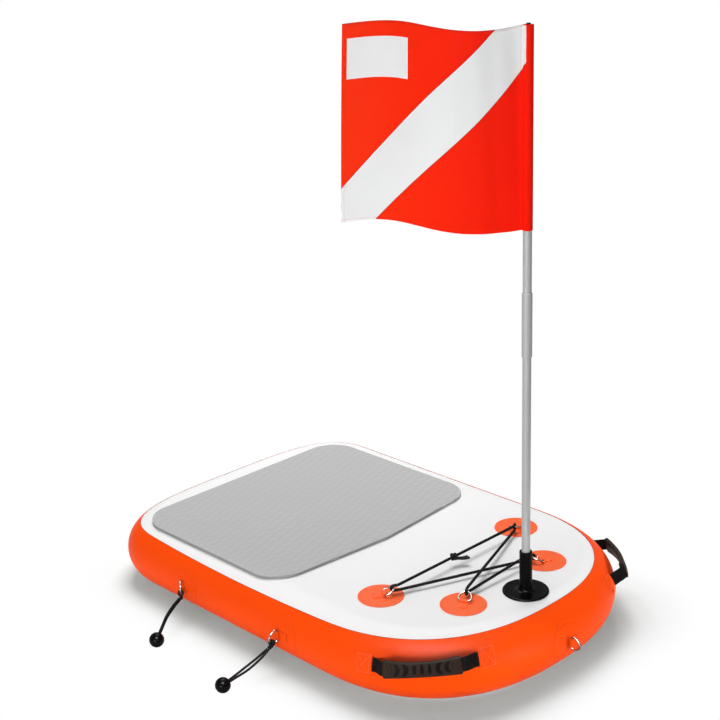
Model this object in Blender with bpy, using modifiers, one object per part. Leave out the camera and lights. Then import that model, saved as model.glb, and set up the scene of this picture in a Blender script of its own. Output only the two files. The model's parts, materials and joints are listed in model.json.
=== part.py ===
"""Inflatable dive flag float.

A drop-stitch board with a grooved deck pad, four laced deck rings, two carry handles, rail rings
with bungee ball ties, an inflation valve, and a two-piece mast that flies a divers' flag.

Metres, +Z up, the board lying on Z = 0 with its bow towards -Y.
"""

import math

import bmesh
import bpy
from mathutils import Matrix, Vector

# Board
board_height = 0.120
flat_length = 0.762
flat_half_width = 0.240
bow_round_length = 0.2306
bow_round_power = 2.457
stern_round_length = 0.0995
stern_round_power = 3.64
skin_thickness = 0.0012
core_clearance = 0.0008
seam_clearance = 0.0003
seat_gap = 0.0003
stern_seam_angle = math.radians(33)
starboard_seam_angle = math.radians(44)
port_seam_angle = math.radians(24.5)
bow_seam_angle = math.radians(25)
bottom_seam_angle = math.radians(26)

# Traction pad
pad_half_width = 0.2475
pad_to_starboard = 0.0144
pad_length = 0.4015
pad_point = 0.020
pad_thickness = 0.005
pad_corner_radius = 0.058
pad_point_radius = 0.030
pad_from_stern = 0.027

# Rings and the patches that hold them
ring_width = 0.0232
ring_depth = 0.0185
ring_wire_radius = 0.0016
ring_corner = 0.0024
ring_clearance = 0.0003
patch_radius = 0.0385
patch_thickness = 0.0012
tab_width = 0.0150
tab_thickness = 0.0014
tab_length = 0.0190
deck_bar_shift = 0.0050
deck_ring_tilt = math.radians(24)
aft_patch_from_mast = 0.1644
aft_patch_side = 0.1727
aft_ring_turn = math.radians(34)
fore_patch_from_mast = 0.0451
fore_patch_side = 0.1033
fore_ring_turn = math.radians(-27)
aft_rail_ring = 0.8139
fore_rail_ring = 0.5540
straight_out = math.radians(90)
slack_ring_swing = math.radians(144)

# Bungee ball ties
tie_cord_radius = 0.0020
ball_radius = 0.0130
ball_mouth_radius = 0.0052
ball_mouth_depth = 0.0070
knot_radius = 0.0050
knot_on_ring = math.radians(45)

# Deck bungee
bungee_radius = 0.0025
bungee_wrap_gap = 0.0004
bungee_knot_radius = 0.0062
bungee_lead = 0.0070
bungee_knot_share = 0.46
bungee_tail_length = 0.030
bungee_tail_below = 0.0034
bungee_tail_spread = math.radians(9)
bungee_tail_turn = math.radians(-38)
bungee_tail_drop = math.radians(8)

# Carry handles
handle_from_bow = 0.267
handle_angle = math.radians(70)
handle_slant = math.radians(69)
handle_span = 0.167
handle_lift = 0.0175
strap_seat = 0.0025
handle_ramp = 0.024
strap_width = 0.0215
strap_thickness = 0.0020
grip_length = 0.1153
grip_aft_of_middle = 0.0031
grip_width = 0.0290
grip_waist = 0.0255
grip_thickness = 0.0090
grip_bevel = 0.0026
anchor_from_middle = 0.1002
anchor_length = 0.030
anchor_width = 0.034
anchor_thickness = 0.0052
anchor_corner = 0.003
anchor_tuck = 0.018
pocket_clearance = 0.0003

# Mast
mast_from_bow = 0.0300
flange_radius = 0.0385
flange_thickness = 0.0030
flange_bevel = 0.0008
hub_radius = 0.0128
hub_height = 0.0060
socket_radius = 0.0105
socket_bore_radius = 0.0075
socket_height = 0.0727
socket_floor = 0.0035
mast_radius = 0.0070
mast_wall = 0.0012
mast_clearance = 0.0003
sleeve_bottom = 0.4078
sleeve_length = 0.1037
sleeve_radius = 0.00825
cap_plug_length = 0.0120
cap_rim = 0.0012
cap_button_radius = 0.0035
cap_button_height = 0.0037

# Flag
flag_above_sleeve = 0.0990
flag_hoist = 0.305
flag_fly = 0.305
flag_thickness = 0.0008
flag_sleeve_wall = 0.0008
flag_sleeve_clearance = 0.0004
flag_top_hem = 0.0010
flag_bearing = math.radians(116)
flag_top_swing = math.radians(28)
flag_bottom_swing = math.radians(15)
flag_wave_start = math.radians(-44)

# Inflation valve
valve_flange_radius = 0.0250
valve_flange_height = 0.0030
valve_rim_radius = 0.0195
valve_rim_height = 0.0060
valve_barrel_radius = 0.0170
valve_bore_radius = 0.0140
valve_depth = 0.0240
valve_floor = 0.0030
valve_vent_radius = 0.0024
valve_vent_circle = 0.0090
valve_clearance = 0.0003
stem_radius = 0.0022
stem_button_radius = 0.0060
stem_button_height = 0.0030
stem_top = 0.0040
poppet_radius = 0.0125
poppet_height = 0.0022
cap_radius = 0.0200
cap_height = 0.0040
cap_spigot_radius = 0.0134
cap_spigot_depth = 0.0045
cap_grip_width = 0.0060
cap_grip_height = 0.0050
grip_reach = 0.0160

# Facets
bow_steps = 17
stern_steps = 9
band_steps = 7
skin_steps = 3
round_sides = 24
flag_fly_steps = 36
flag_hoist_steps = 6
cutter_overrun = 0.010

rail_radius = board_height / 2
deck_height = board_height
eye_radius = ring_wire_radius + ring_clearance + tab_thickness
bar_height = patch_thickness + eye_radius
ring_reach = rail_radius + seat_gap + bar_height + ring_depth + ring_wire_radius
valve_reach = rail_radius + valve_rim_height + valve_clearance + cap_height + cap_grip_height
bow_tip_y = (ring_reach - flat_length - valve_reach) / 2
stern_tip_y = bow_tip_y + flat_length
mast_y = bow_tip_y + mast_from_bow
flag_bottom = sleeve_bottom + sleeve_length + flag_above_sleeve
flag_top = flag_bottom + flag_hoist

for old in list(bpy.data.objects):
    bpy.data.objects.remove(old, do_unlink=True)

parts = bpy.data.collections.new("dive_flag_float")
cutters = bpy.data.collections.new("cutters")
bpy.context.scene.collection.children.link(parts)
bpy.context.scene.collection.children.link(cutters)


def make_material(name, colour, roughness, metallic=0.0):
    material = bpy.data.materials.new(name)
    material.use_nodes = True
    shader = material.node_tree.nodes["Principled BSDF"]
    shader.inputs["Base Color"].default_value = (*colour, 1.0)
    shader.inputs["Roughness"].default_value = roughness
    shader.inputs["Metallic"].default_value = metallic
    material.diffuse_color = (*colour, 1.0)
    return material


white_pvc = make_material("white_pvc", (0.86, 0.86, 0.86), 0.40)
orange_pvc = make_material("orange_pvc", (1.0, 0.085, 0.006), 0.38)
patch_pvc = make_material("patch_pvc", (1.0, 0.12, 0.02), 0.40)
yarn_core = make_material("yarn_core", (0.75, 0.75, 0.72), 0.80)
grey_foam = make_material("grey_foam", (0.45, 0.45, 0.45), 0.75)
stainless = make_material("stainless_wire", (0.62, 0.62, 0.60), 0.22, 1.0)
black_rubber = make_material("black_rubber", (0.012, 0.012, 0.013), 0.35)
black_cord = make_material("black_cord", (0.012, 0.012, 0.013), 0.70)
black_webbing = make_material("black_webbing", (0.014, 0.012, 0.012), 0.75)
grip_rubber = make_material("grip_rubber", (0.035, 0.024, 0.020), 0.50)
glass_fibre = make_material("glass_fibre_tube", (0.60, 0.61, 0.62), 0.35)
flag_cloth = make_material("flag_cloth", (0.83, 0.02, 0.006), 0.70)
valve_plastic = make_material("valve_plastic", (0.05, 0.05, 0.05), 0.40)


def new_part(name, mesh, material, place=None):
    """Adds a mesh as a named piece, shaded smooth across its shallow edges."""
    thing = bpy.data.objects.new(name, mesh)
    parts.objects.link(thing)
    mesh.materials.clear()
    mesh.materials.append(material)
    mesh.shade_smooth()
    mesh.set_sharp_from_angle(angle=math.radians(35))
    if place is not None:
        thing.matrix_world = place
    return thing


def new_cutter(name, mesh, place=None):
    thing = bpy.data.objects.new(name, mesh)
    cutters.objects.link(thing)
    thing.hide_render = True
    thing.display_type = "WIRE"
    if place is not None:
        thing.matrix_world = place
    return thing


def join(thing, other, operation):
    """Cuts, meets or unites one object with another by an exact Boolean."""
    boolean = thing.modifiers.new(operation.lower() + "_" + other.name, "BOOLEAN")
    boolean.operation = operation
    boolean.solver = "EXACT"
    boolean.object = other
    return thing


def mesh_from_bmesh(name, bm):
    mesh = bpy.data.meshes.new(name)
    bm.to_mesh(mesh)
    bm.free()
    return mesh


def cylinder(name, radius, low, high, sides=round_sides):
    """A cylinder about Z from one height to another."""
    bm = bmesh.new()
    bmesh.ops.create_cone(bm, cap_ends=True, segments=sides, radius1=radius, radius2=radius, depth=high - low)
    bmesh.ops.translate(bm, verts=bm.verts, vec=(0, 0, (high + low) / 2))
    return mesh_from_bmesh(name, bm)


def box(name, low, high):
    """A box between two corners."""
    bm = bmesh.new()
    bmesh.ops.create_cube(bm, size=1.0)
    for vert in bm.verts:
        vert.co = Vector([low[i] + (vert.co[i] + 0.5) * (high[i] - low[i]) for i in range(3)])
    return mesh_from_bmesh(name, bm)


def turned(name, profile, sides=round_sides):
    """A solid of revolution: its profile runs down the outside, from the top of the axis to the bottom."""
    bm = bmesh.new()
    verts = [bm.verts.new((radius, 0, height)) for radius, height in profile]
    for first, second in zip(verts, verts[1:]):
        bm.edges.new((first, second))
    if profile[0][0] > 0:
        bm.edges.new((verts[-1], verts[0]))
    thing = bpy.data.objects.new(name, mesh_from_bmesh(name, bm))
    cutters.objects.link(thing)
    screw = thing.modifiers.new("turn", "SCREW")
    screw.steps = sides
    screw.render_steps = sides
    screw.use_merge_vertices = True
    screw.merge_threshold = 0.00001
    screw.use_smooth_shade = True
    return settle(thing)


def settle(thing):
    """Turns an object with its modifiers into a plain welded mesh and removes the object."""
    graph = bpy.context.evaluated_depsgraph_get()
    mesh = bpy.data.meshes.new_from_object(thing.evaluated_get(graph))
    mesh.transform(thing.matrix_world)
    bm = bmesh.new()
    bm.from_mesh(mesh)
    bmesh.ops.remove_doubles(bm, verts=bm.verts, dist=0.00001)
    bm.to_mesh(mesh)
    bm.free()
    bpy.data.objects.remove(thing, do_unlink=True)
    return mesh


def poly_curve(name, dimensions, loops, cyclic):
    curve = bpy.data.curves.new(name, "CURVE")
    curve.dimensions = dimensions
    for loop in loops:
        spline = curve.splines.new("POLY")
        spline.points.add(len(loop) - 1)
        for point, place in zip(spline.points, loop):
            x, y, z = tuple(place) + (0.0,) * (3 - len(place))
            point.co = (x, y, z, 1.0)
        spline.use_cyclic_u = cyclic
    return curve


def tube(name, route, radius, resolution, cyclic=False):
    """A round tube along a route of points, with filled ends."""
    curve = poly_curve(name, "3D", [route], cyclic)
    curve.bevel_depth = radius
    curve.bevel_resolution = resolution
    curve.use_fill_caps = True
    thing = bpy.data.objects.new(name, curve)
    cutters.objects.link(thing)
    bpy.context.view_layer.update()
    return settle(thing)


def plate(name, loops, thickness):
    """A flat plate, lying half above and half below Z = 0, from its outline and its holes."""
    curve = poly_curve(name, "2D", loops, True)
    curve.fill_mode = "BOTH"
    curve.extrude = thickness / 2
    thing = bpy.data.objects.new(name, curve)
    cutters.objects.link(thing)
    bpy.context.view_layer.update()
    return settle(thing)


def arc(centre, radius, start, end, steps):
    """Points of an arc about a centre, both ends included."""
    points = []
    for step in range(steps + 1):
        angle = start + (end - start) * step / steps
        points.append((centre[0] + radius * math.cos(angle), centre[1] + radius * math.sin(angle)))
    return points


def rounded(corners, radii, steps):
    """An outline with each corner replaced by an arc that is tangent to both its sides."""
    points = []
    count = len(corners)
    for index, (corner, radius) in enumerate(zip(corners, radii)):
        here = Vector(corner)
        back = (Vector(corners[index - 1]) - here).normalized()
        ahead = (Vector(corners[(index + 1) % count]) - here).normalized()
        half = back.angle(ahead) / 2
        centre = here + (back + ahead).normalized() * radius / math.sin(half)
        start = here + back * radius / math.tan(half) - centre
        turn = math.pi - 2 * half
        for step in range(steps + 1):
            angle = turn * step / steps
            spoke = Vector((start.x * math.cos(angle) - start.y * math.sin(angle),
                            start.x * math.sin(angle) + start.y * math.cos(angle)))
            points.append(tuple(centre + spoke))
    return points


def frame_at(place, lying, normal):
    """A placing whose Z is the surface normal and whose X is the direction that a piece lies in."""
    z = Vector(normal).normalized()
    x = Vector(lying)
    x = (x - z * x.dot(z)).normalized()
    y = z.cross(x)
    matrix = Matrix((x, y, z)).transposed().to_4x4()
    matrix.translation = Vector(place)
    return matrix


# Board: a flat drop-stitch panel whose edge swells into a half-round rail

def half_edge(bow_count, stern_count):
    """The flat panel's edge on +X, from the bow tip to the stern tip: two superellipse quarters."""
    points = []
    for step in range(bow_count + 1):
        turn = math.pi / 2 * step / bow_count
        x = flat_half_width * math.sin(turn) ** (2 / bow_round_power)
        y = bow_tip_y + bow_round_length * (1 - math.cos(turn) ** (2 / bow_round_power))
        points.append(Vector((x, y)))
    for step in range(stern_count + 1):
        turn = math.pi / 2 * (1 - step / stern_count)
        x = flat_half_width * math.sin(turn) ** (2 / stern_round_power)
        y = stern_tip_y - stern_round_length * (1 - math.cos(turn) ** (2 / stern_round_power))
        points.append(Vector((x, y)))
    points[0].x = 0
    points[-1].x = 0
    return points


def edge_normals(points):
    """Outward directions at the points of a half edge."""
    normals = []
    for index in range(len(points)):
        ahead = points[min(index + 1, len(points) - 1)]
        behind = points[max(index - 1, 0)]
        run = (ahead - behind).normalized()
        normals.append(Vector((run.y, -run.x)))
    normals[0] = Vector((0, -1))
    normals[-1] = Vector((0, 1))
    return normals


def whole_edge():
    """Point, outward direction and seam angle all round the flat panel."""
    points = half_edge(bow_steps, stern_steps)
    normals = edge_normals(points)
    port = [(point, normal, seam_angle(point.y, port_seam_angle)) for point, normal in zip(points, normals)]
    starboard = [(Vector((-point.x, point.y)), Vector((-normal.x, normal.y)),
                  seam_angle(point.y, starboard_seam_angle)) for point, normal, _ in port[-2:0:-1]]
    return port + starboard


def seam_angle(y, middle_seam_angle):
    """How far round the rail the white deck reaches at this distance along, on the side whose reach
    amidships is given: the deck's cloth is laid a little to starboard."""
    share = (stern_tip_y - y) / flat_length
    stern_part = stern_seam_angle * (1 - share) * (1 - 2 * share)
    middle_part = 4 * middle_seam_angle * share * (1 - share)
    bow_part = bow_seam_angle * share * (2 * share - 1)
    return stern_part + middle_part + bow_part


def rail_ring(edge, angles, radius):
    """One ring of points on the rail, each at its own angle from straight up."""
    ring = []
    for (point, normal, _), angle in zip(edge, angles):
        out = point + normal * radius * math.sin(angle)
        ring.append((out.x, out.y, rail_radius + radius * math.cos(angle)))
    return ring


def skin_of_rings(name, rings, capped=True):
    """Joins rings of points, from the top down, and caps the two ends or joins the last to the first."""
    bm = bmesh.new()
    rows = [[bm.verts.new(place) for place in ring] for ring in rings]
    count = len(rows[0])
    below = rows[1:] if capped else rows[1:] + rows[:1]
    for upper, lower in zip(rows, below):
        for index in range(count):
            after = (index + 1) % count
            bm.faces.new((upper[index], lower[index], lower[after], upper[after]))
    if capped:
        bm.faces.new(rows[0])
        bm.faces.new(rows[-1][::-1])
    return mesh_from_bmesh(name, bm)


board_edge = whole_edge()
seams = [angle for _, _, angle in board_edge]
seam_step = seam_clearance / rail_radius


def deck_angles(share):
    return [angle * share for angle in seams]


def band_angles(share):
    """From the deck's seam to the bottom panel's seam."""
    low = math.pi - bottom_seam_angle
    return [angle + (low - angle) * share for angle in seams]


def bottom_angles(share):
    return [math.pi - bottom_seam_angle * (1 - share) for _ in seams]


def board_angles():
    """The angles of every ring of the whole board, from the deck to the bottom."""
    rows = [deck_angles(step / skin_steps) for step in range(skin_steps + 1)]
    rows += [band_angles(step / band_steps) for step in range(1, band_steps + 1)]
    rows += [bottom_angles(step / skin_steps) for step in range(1, skin_steps + 1)]
    return rows


def board_solid(name, radius):
    return skin_of_rings(name, [rail_ring(board_edge, angles, radius) for angles in board_angles()])


def both_faces(rows):
    """Rings of a wall, down its outer face and back up its inner face."""
    outer = [rail_ring(board_edge, angles, rail_radius) for angles in rows]
    inner = [rail_ring(board_edge, angles, rail_radius - skin_thickness) for angles in rows]
    return outer, inner[::-1]


outer, inner = both_faces([deck_angles(step / skin_steps) for step in range(skin_steps + 1)])
new_part("deck_skin", skin_of_rings("deck_skin", outer + inner), white_pvc)

outer, inner = both_faces([bottom_angles(step / skin_steps) for step in range(skin_steps + 1)])
new_part("bottom_skin", skin_of_rings("bottom_skin", inner + outer), white_pvc)

band_rows = []
for step in range(band_steps + 1):
    inset = seam_step * (1 - 2 * step / band_steps)
    band_rows.append([angle + inset for angle in band_angles(step / band_steps)])
outer, inner = both_faces(band_rows)
rail_band = new_part("rail_band", skin_of_rings("rail_band", outer + inner, capped=False), orange_pvc)

core_radius = rail_radius - skin_thickness - core_clearance
drop_stitch_core = new_part("drop_stitch_core", board_solid("drop_stitch_core", core_radius), yarn_core)

seat_envelope = new_cutter("seat_envelope", board_solid("seat_envelope", rail_radius + seat_gap))


def rail_table():
    """Distance along the outer rail from the bow tip, with the edge point and direction there, on +X."""
    fine = 40
    points = half_edge(bow_steps * fine, stern_steps * fine)
    normals = edge_normals(points)
    rows = []
    distance = 0.0
    last = None
    for point, normal in zip(points, normals):
        outer = point + normal * rail_radius
        if last is not None:
            distance += (outer - last).length
        rows.append((distance, point, normal))
        last = outer
    return rows


rail_rows = rail_table()


def rail_place(distance, angle, height, side):
    """A point at a height over the rail, with its outward normal, its way aft and its way up."""
    index = 1
    while index < len(rail_rows) - 1 and rail_rows[index][0] < distance:
        index += 1
    before = rail_rows[index - 1]
    after = rail_rows[index]
    share = (distance - before[0]) / (after[0] - before[0])
    point = before[1].lerp(after[1], share)
    flat = before[2].lerp(after[2], share).normalized()
    normal = Vector((side * flat.x * math.sin(angle), flat.y * math.sin(angle), math.cos(angle)))
    up = Vector((-side * flat.x * math.cos(angle), -flat.y * math.cos(angle), math.sin(angle)))
    aft = Vector((-side * flat.y, flat.x, 0))
    place = Vector((side * point.x, point.y, rail_radius)) + normal * (rail_radius + height)
    return place, normal, aft, up


# Traction pad: closed-cell foam, glued down on the deck and over the start of the starboard rail,
# with a blunt point towards the bow

pad_aft = stern_tip_y - pad_from_stern
pad_fore = pad_aft - pad_length + pad_point
pad_starboard = -pad_to_starboard - pad_half_width
pad_port = pad_half_width - pad_to_starboard
pad_corners = [
    (pad_starboard, pad_aft),
    (pad_starboard, pad_fore),
    (-pad_to_starboard, pad_fore - pad_point),
    (pad_port, pad_fore),
    (pad_port, pad_aft),
]
pad_radii = [pad_corner_radius, pad_corner_radius, pad_point_radius, pad_corner_radius, pad_corner_radius]
pad_outline = rounded(pad_corners, pad_radii, 7)
pad_envelope = new_cutter("pad_envelope", board_solid("pad_envelope", rail_radius + seat_gap + pad_thickness))
pad = new_part("traction_pad", plate("traction_pad", [pad_outline], 2 * cutter_overrun), grey_foam,
               Matrix.Translation((0, 0, deck_height)))
join(pad, pad_envelope, "INTERSECT")
join(pad, seat_envelope, "DIFFERENCE")


# Patches: a disc welded to the hull, with a webbing tab folded round the bar of its ring

def tab_mesh(name, foot):
    """The tab seen from its side: a flat tail down to its foot and an eye that the ring's bar turns in."""
    centre = (0, patch_thickness + eye_radius)
    tail = 2 * tab_thickness + patch_thickness
    lean = math.asin((centre[1] - tail) / eye_radius)
    eye = arc(centre, eye_radius, math.pi + lean, -math.pi / 2, 11)
    outline = [(-tab_length, foot), (-tab_length, tail)] + eye + [(0, foot)]
    hole = arc(centre, ring_wire_radius + ring_clearance, 0, 2 * math.pi, 12)[:-1]
    mesh = plate(name, [outline, hole], tab_width)
    mesh.transform(Matrix.Rotation(math.pi / 2, 4, "X"))
    return mesh


def add_patch(name, place, lying, normal, on_rail):
    """A patch with its tab, at a place on the hull's surface."""
    placing = frame_at(place, lying, normal)
    shift = 0.0 if on_rail else deck_bar_shift
    if on_rail:
        mesh = cylinder(name, patch_radius, -rail_radius / 2, cutter_overrun)
        foot = -tab_thickness
    else:
        mesh = cylinder(name, patch_radius, seat_gap, seat_gap + patch_thickness)
        foot = patch_thickness / 2
    patch = new_part(name, mesh, patch_pvc, placing)
    if on_rail:
        join(patch, patch_envelope, "INTERSECT")
    lifted = placing @ Matrix.Translation((shift, 0, seat_gap))
    join(patch, new_cutter(name + "_tab", tab_mesh(name + "_tab", foot), lifted), "UNION")
    if on_rail:
        join(patch, seat_envelope, "DIFFERENCE")
    return lifted @ Matrix.Translation((0, 0, bar_height))


def ring_route():
    """The ring's centre line in its own plane: a straight bar on Y and a bow towards +X."""
    half = ring_width / 2
    route = [(0, half - ring_corner, 0)]
    for degrees in (14, 34, 54, 72, 90, 108, 126, 146, 166):
        turn = math.radians(degrees)
        route.append((ring_depth * math.sin(turn), half * math.cos(turn), 0))
    route.append((0, ring_corner - half, 0))
    return route


ring_mesh = tube("d_ring", ring_route(), ring_wire_radius, 1, cyclic=True)


def add_ring(name, bar_placing, swing):
    """A ring hung on its tab; at no swing it lies along the patch, and a quarter turn stands it straight out."""
    placing = bar_placing @ Matrix.Rotation(-swing, 4, "Y")
    new_part(name, ring_mesh, stainless, placing)
    return placing


patch_envelope = new_cutter("patch_envelope",
                            board_solid("patch_envelope", rail_radius + seat_gap + patch_thickness))

deck_sets = {
    "starboard_aft": (-1, aft_patch_side, aft_patch_from_mast, aft_ring_turn),
    "starboard_fore": (-1, fore_patch_side, fore_patch_from_mast, fore_ring_turn),
    "port_aft": (1, aft_patch_side, aft_patch_from_mast, aft_ring_turn),
    "port_fore": (1, fore_patch_side, fore_patch_from_mast, fore_ring_turn),
}
deck_ring_places = {}
for name, (side, across, behind, turn) in deck_sets.items():
    inward = (-side * math.cos(turn), -math.sin(turn), 0)
    spot = (side * across, mast_y + behind, deck_height)
    bar = add_patch("deck_patch_" + name, spot, inward, (0, 0, 1), False)
    deck_ring_places[name] = add_ring("deck_ring_" + name, bar, deck_ring_tilt)

rail_sets = {
    "starboard_aft": (-1, aft_rail_ring, slack_ring_swing),
    "starboard_fore": (-1, fore_rail_ring, straight_out),
    "port_aft": (1, aft_rail_ring, straight_out),
    "port_fore": (1, fore_rail_ring, straight_out),
    "bow": (-1, 0.0, straight_out),
}
rail_ring_places = {}
for name, (side, distance, swing) in rail_sets.items():
    spot, normal, aft, up = rail_place(distance, math.pi / 2, 0.0, side)
    bar = add_patch("rail_patch_" + name, spot, aft, normal, True)
    rail_ring_places[name] = add_ring("rail_ring_" + name, bar, swing)


# Bungee ball ties: a doubled cord knotted to a rail ring, its two ends held in a plastic ball

def smooth_route(points, steps):
    """A Catmull-Rom curve through the chosen points."""
    chain = [Vector(point) for point in points]
    chain = [2 * chain[0] - chain[1]] + chain + [2 * chain[-1] - chain[-2]]
    route = []
    for index in range(1, len(chain) - 2):
        before, start, end, after = chain[index - 1:index + 3]
        for step in range(steps):
            t = step / steps
            route.append(0.5 * (2 * start + (end - before) * t
                                + (2 * before - 5 * start + 4 * end - after) * t ** 2
                                + (3 * start - before - 3 * end + after) * t ** 3))
    route.append(chain[-2])
    return route


# Each tie: points of its middle line from the ring's bar, how far its two strands stand apart at
# those points, the direction in which they stand apart, and the centre of its ball.
tie_sets = {
    "starboard_fore": {
        "middle": ((-0.0214, 0.0004, -0.0168), (-0.0420, 0.0016, -0.0262), (-0.0660, 0.0050, -0.0360),
                   (-0.0870, 0.0078, -0.0420), (-0.1069, 0.0084, -0.0455)),
        "spread": (0.0044, 0.0096, 0.0120, 0.0080, 0.0044),
        "sideways": (0.10, 0.97, -0.20),
        "ball": (-0.1131, 0.0090, -0.0467),
    },
    "starboard_aft": {
        "middle": ((-0.0150, -0.0162, -0.0150), (-0.0355, -0.0240, -0.0190), (-0.0585, -0.0338, -0.0262),
                   (-0.0773, -0.0440, -0.0355), (-0.0922, -0.0515, -0.0439)),
        "spread": (0.0044, 0.0054, 0.0054, 0.0050, 0.0044),
        "sideways": (-0.28, -0.22, 0.93),
        "ball": (-0.0972, -0.0540, -0.0467),
    },
}


def sphere(name, radius, rings, sides):
    bm = bmesh.new()
    bmesh.ops.create_uvsphere(bm, u_segments=sides, v_segments=rings, radius=radius)
    return mesh_from_bmesh(name, bm)


def circle_route(radius, count):
    """Points round a circle about Z."""
    turns = [2 * math.pi * index / count for index in range(count)]
    return [(radius * math.cos(turn), radius * math.sin(turn), 0) for turn in turns]


def hang(thing, pivot):
    """Parents a piece to its pivot without moving it."""
    thing.parent = pivot
    thing.matrix_parent_inverse = pivot.matrix_world.inverted()


for name, tie in tie_sets.items():
    ring_place = rail_ring_places[name]
    bar_place = ring_place.translation.copy()
    pivot = bpy.data.objects.new("pivot_" + name, None)
    cutters.objects.link(pivot)
    pivot.matrix_world = Matrix.Translation(bar_place)
    bpy.context.view_layer.update()
    hang(parts.objects["rail_ring_" + name], pivot)

    # Knot: a turn round the ring's wire, drawn up into a round lump
    on_wire = Vector((ring_depth * math.sin(knot_on_ring), ring_width / 2 * math.cos(knot_on_ring), 0))
    run = Vector((ring_depth * math.cos(knot_on_ring), -ring_width / 2 * math.sin(knot_on_ring), 0))
    outward = Vector((-run.y, run.x, 0)).normalized()
    lump_out = ring_wire_radius + ring_clearance + knot_radius
    lump_place = ring_place @ Matrix.Translation(on_wire + outward * lump_out)
    knot = new_part("tie_knot_" + name, sphere("tie_knot_" + name, knot_radius, 8, 14), black_cord, lump_place)
    turn_radius = ring_wire_radius + ring_clearance + tie_cord_radius
    turn_mesh = tube("tie_turn_" + name, circle_route(turn_radius, 14), tie_cord_radius, 1, cyclic=True)
    turn_place = ring_place @ frame_at(on_wire, outward, run)
    join(knot, new_cutter("tie_turn_" + name, turn_mesh, turn_place), "UNION")
    hang(knot, pivot)

    # Strands: the two ends of the doubled cord
    sideways = Vector(tie["sideways"]).normalized()
    for side, letter in ((-1, "a"), (1, "b")):
        stations = zip(tie["middle"], tie["spread"])
        points = [bar_place + Vector(place) + sideways * side * apart / 2 for place, apart in stations]
        strand = "tie_strand_" + letter + "_" + name
        hang(new_part(strand, tube(strand, smooth_route(points, 3), tie_cord_radius, 2), black_cord), pivot)

    # Ball: moulded plastic, its mouth turned towards the strands
    centre = bar_place + Vector(tie["ball"])
    mouth = Vector(tie["middle"][-1]) - Vector(tie["ball"])
    ball_place = frame_at(centre, sideways, mouth)
    ball = new_part("tie_ball_" + name, sphere("tie_ball_" + name, ball_radius, 12, 20), black_rubber, ball_place)
    pocket = cylinder("tie_mouth_" + name, ball_mouth_radius, ball_radius - ball_mouth_depth,
                      ball_radius + cutter_overrun, 16)
    join(ball, new_cutter("tie_mouth_" + name, pocket, ball_place), "DIFFERENCE")
    hang(ball, pivot)


# Deck bungee: one cord laced through the four deck rings, its ends tied in one knot with two tails

def wrap_route(name):
    """Half a turn of the cord round a ring's wire, from above it through the ring to below it."""
    ring_place = deck_ring_places[name]
    wire = ring_place @ Vector((ring_depth, 0, 0))
    ahead = Vector((ring_place.col[0].x, ring_place.col[0].y, 0)).normalized()
    up = Vector((0, 0, 1))
    bend = ring_wire_radius + bungee_wrap_gap + bungee_radius
    points = [wire + up * bend + ahead * bungee_lead]
    for step in range(7):
        turn = math.pi * step / 6
        points.append(wire + (up * math.cos(turn) - ahead * math.sin(turn)) * bend)
    points.append(wire - up * bend + ahead * bungee_lead)
    return points


starboard_aft_turn = wrap_route("starboard_aft")
starboard_fore_turn = wrap_route("starboard_fore")
port_aft_turn = wrap_route("port_aft")
port_fore_turn = wrap_route("port_fore")
knot_centre = starboard_aft_turn[0].lerp(port_aft_turn[0], bungee_knot_share)
knot_side = (starboard_aft_turn[0] - port_aft_turn[0]).normalized() * (bungee_knot_radius + seat_gap)
bungee_route = [knot_centre + knot_side] + starboard_aft_turn + port_fore_turn[::-1]
bungee_route += starboard_fore_turn[::-1] + port_aft_turn[::-1] + [knot_centre - knot_side]
new_part("deck_bungee", tube("deck_bungee", bungee_route, bungee_radius, 2), black_cord)

bungee_knot = new_part("bungee_knot", sphere("bungee_knot", bungee_knot_radius, 10, 16), black_cord,
                       Matrix.Translation(knot_centre))
for side, letter in ((-1, "a"), (1, "b")):
    heading = bungee_tail_turn + side * bungee_tail_spread
    reach = Vector((math.cos(heading), math.sin(heading), -math.tan(bungee_tail_drop)))
    start = knot_centre - Vector((0, 0, bungee_tail_below))
    tail = tube("bungee_tail_" + letter, [start, start + reach * bungee_tail_length], bungee_radius, 2)
    join(bungee_knot, new_cutter("bungee_tail_" + letter, tail), "UNION")


# Carry handles: a webbing strap through a moulded grip, its ends sewn into two anchors on the rail

def strap_height(along):
    """Height of the strap's middle over the rail, along the rail from the handle's middle."""
    share = min(max((handle_span / 2 - abs(along)) / handle_ramp, 0.0), 1.0)
    return strap_seat + handle_lift * share * share * (3 - 2 * share)


def strap_angle(along):
    """Rail angle of the strap's middle: it hangs lower on the rail towards the stern."""
    return handle_angle + handle_slant * along


def strap_cup(along):
    """How far the strap follows the rail across its width: fully at the anchors, not at all in the grip."""
    share = (abs(along) - grip_length / 2) / (handle_span / 2 - grip_length / 2)
    return min(max(share, 0.0), 1.0)


def handle_section(side, along, outline):
    """An outline of (across, height) points set square to the strap's path."""
    fine = strap_thickness / 4
    spots = [rail_place(handle_from_bow + along + step, strap_angle(along + step), strap_height(along + step),
                        side)
             for step in (-fine, 0.0, fine)]
    centre, normal, _, up = spots[1]
    run = (spots[2][0] - spots[0][0]).normalized()
    out = run.cross(up).normalized()
    if out.dot(normal) < 0:
        out = -out
    up = (up - run * up.dot(run)).normalized()
    bow = strap_cup(along) / (2 * (rail_radius + strap_seat))
    return [tuple(centre + up * across + out * (height - bow * across * across)) for across, height in outline]


def handle_loft(name, side, stations, outline):
    mesh = skin_of_rings(name, [handle_section(side, along, outline(along)) for along in stations])
    bm = bmesh.new()
    bm.from_mesh(mesh)
    bmesh.ops.recalc_face_normals(bm, faces=bm.faces)
    bm.to_mesh(mesh)
    bm.free()
    return mesh


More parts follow.
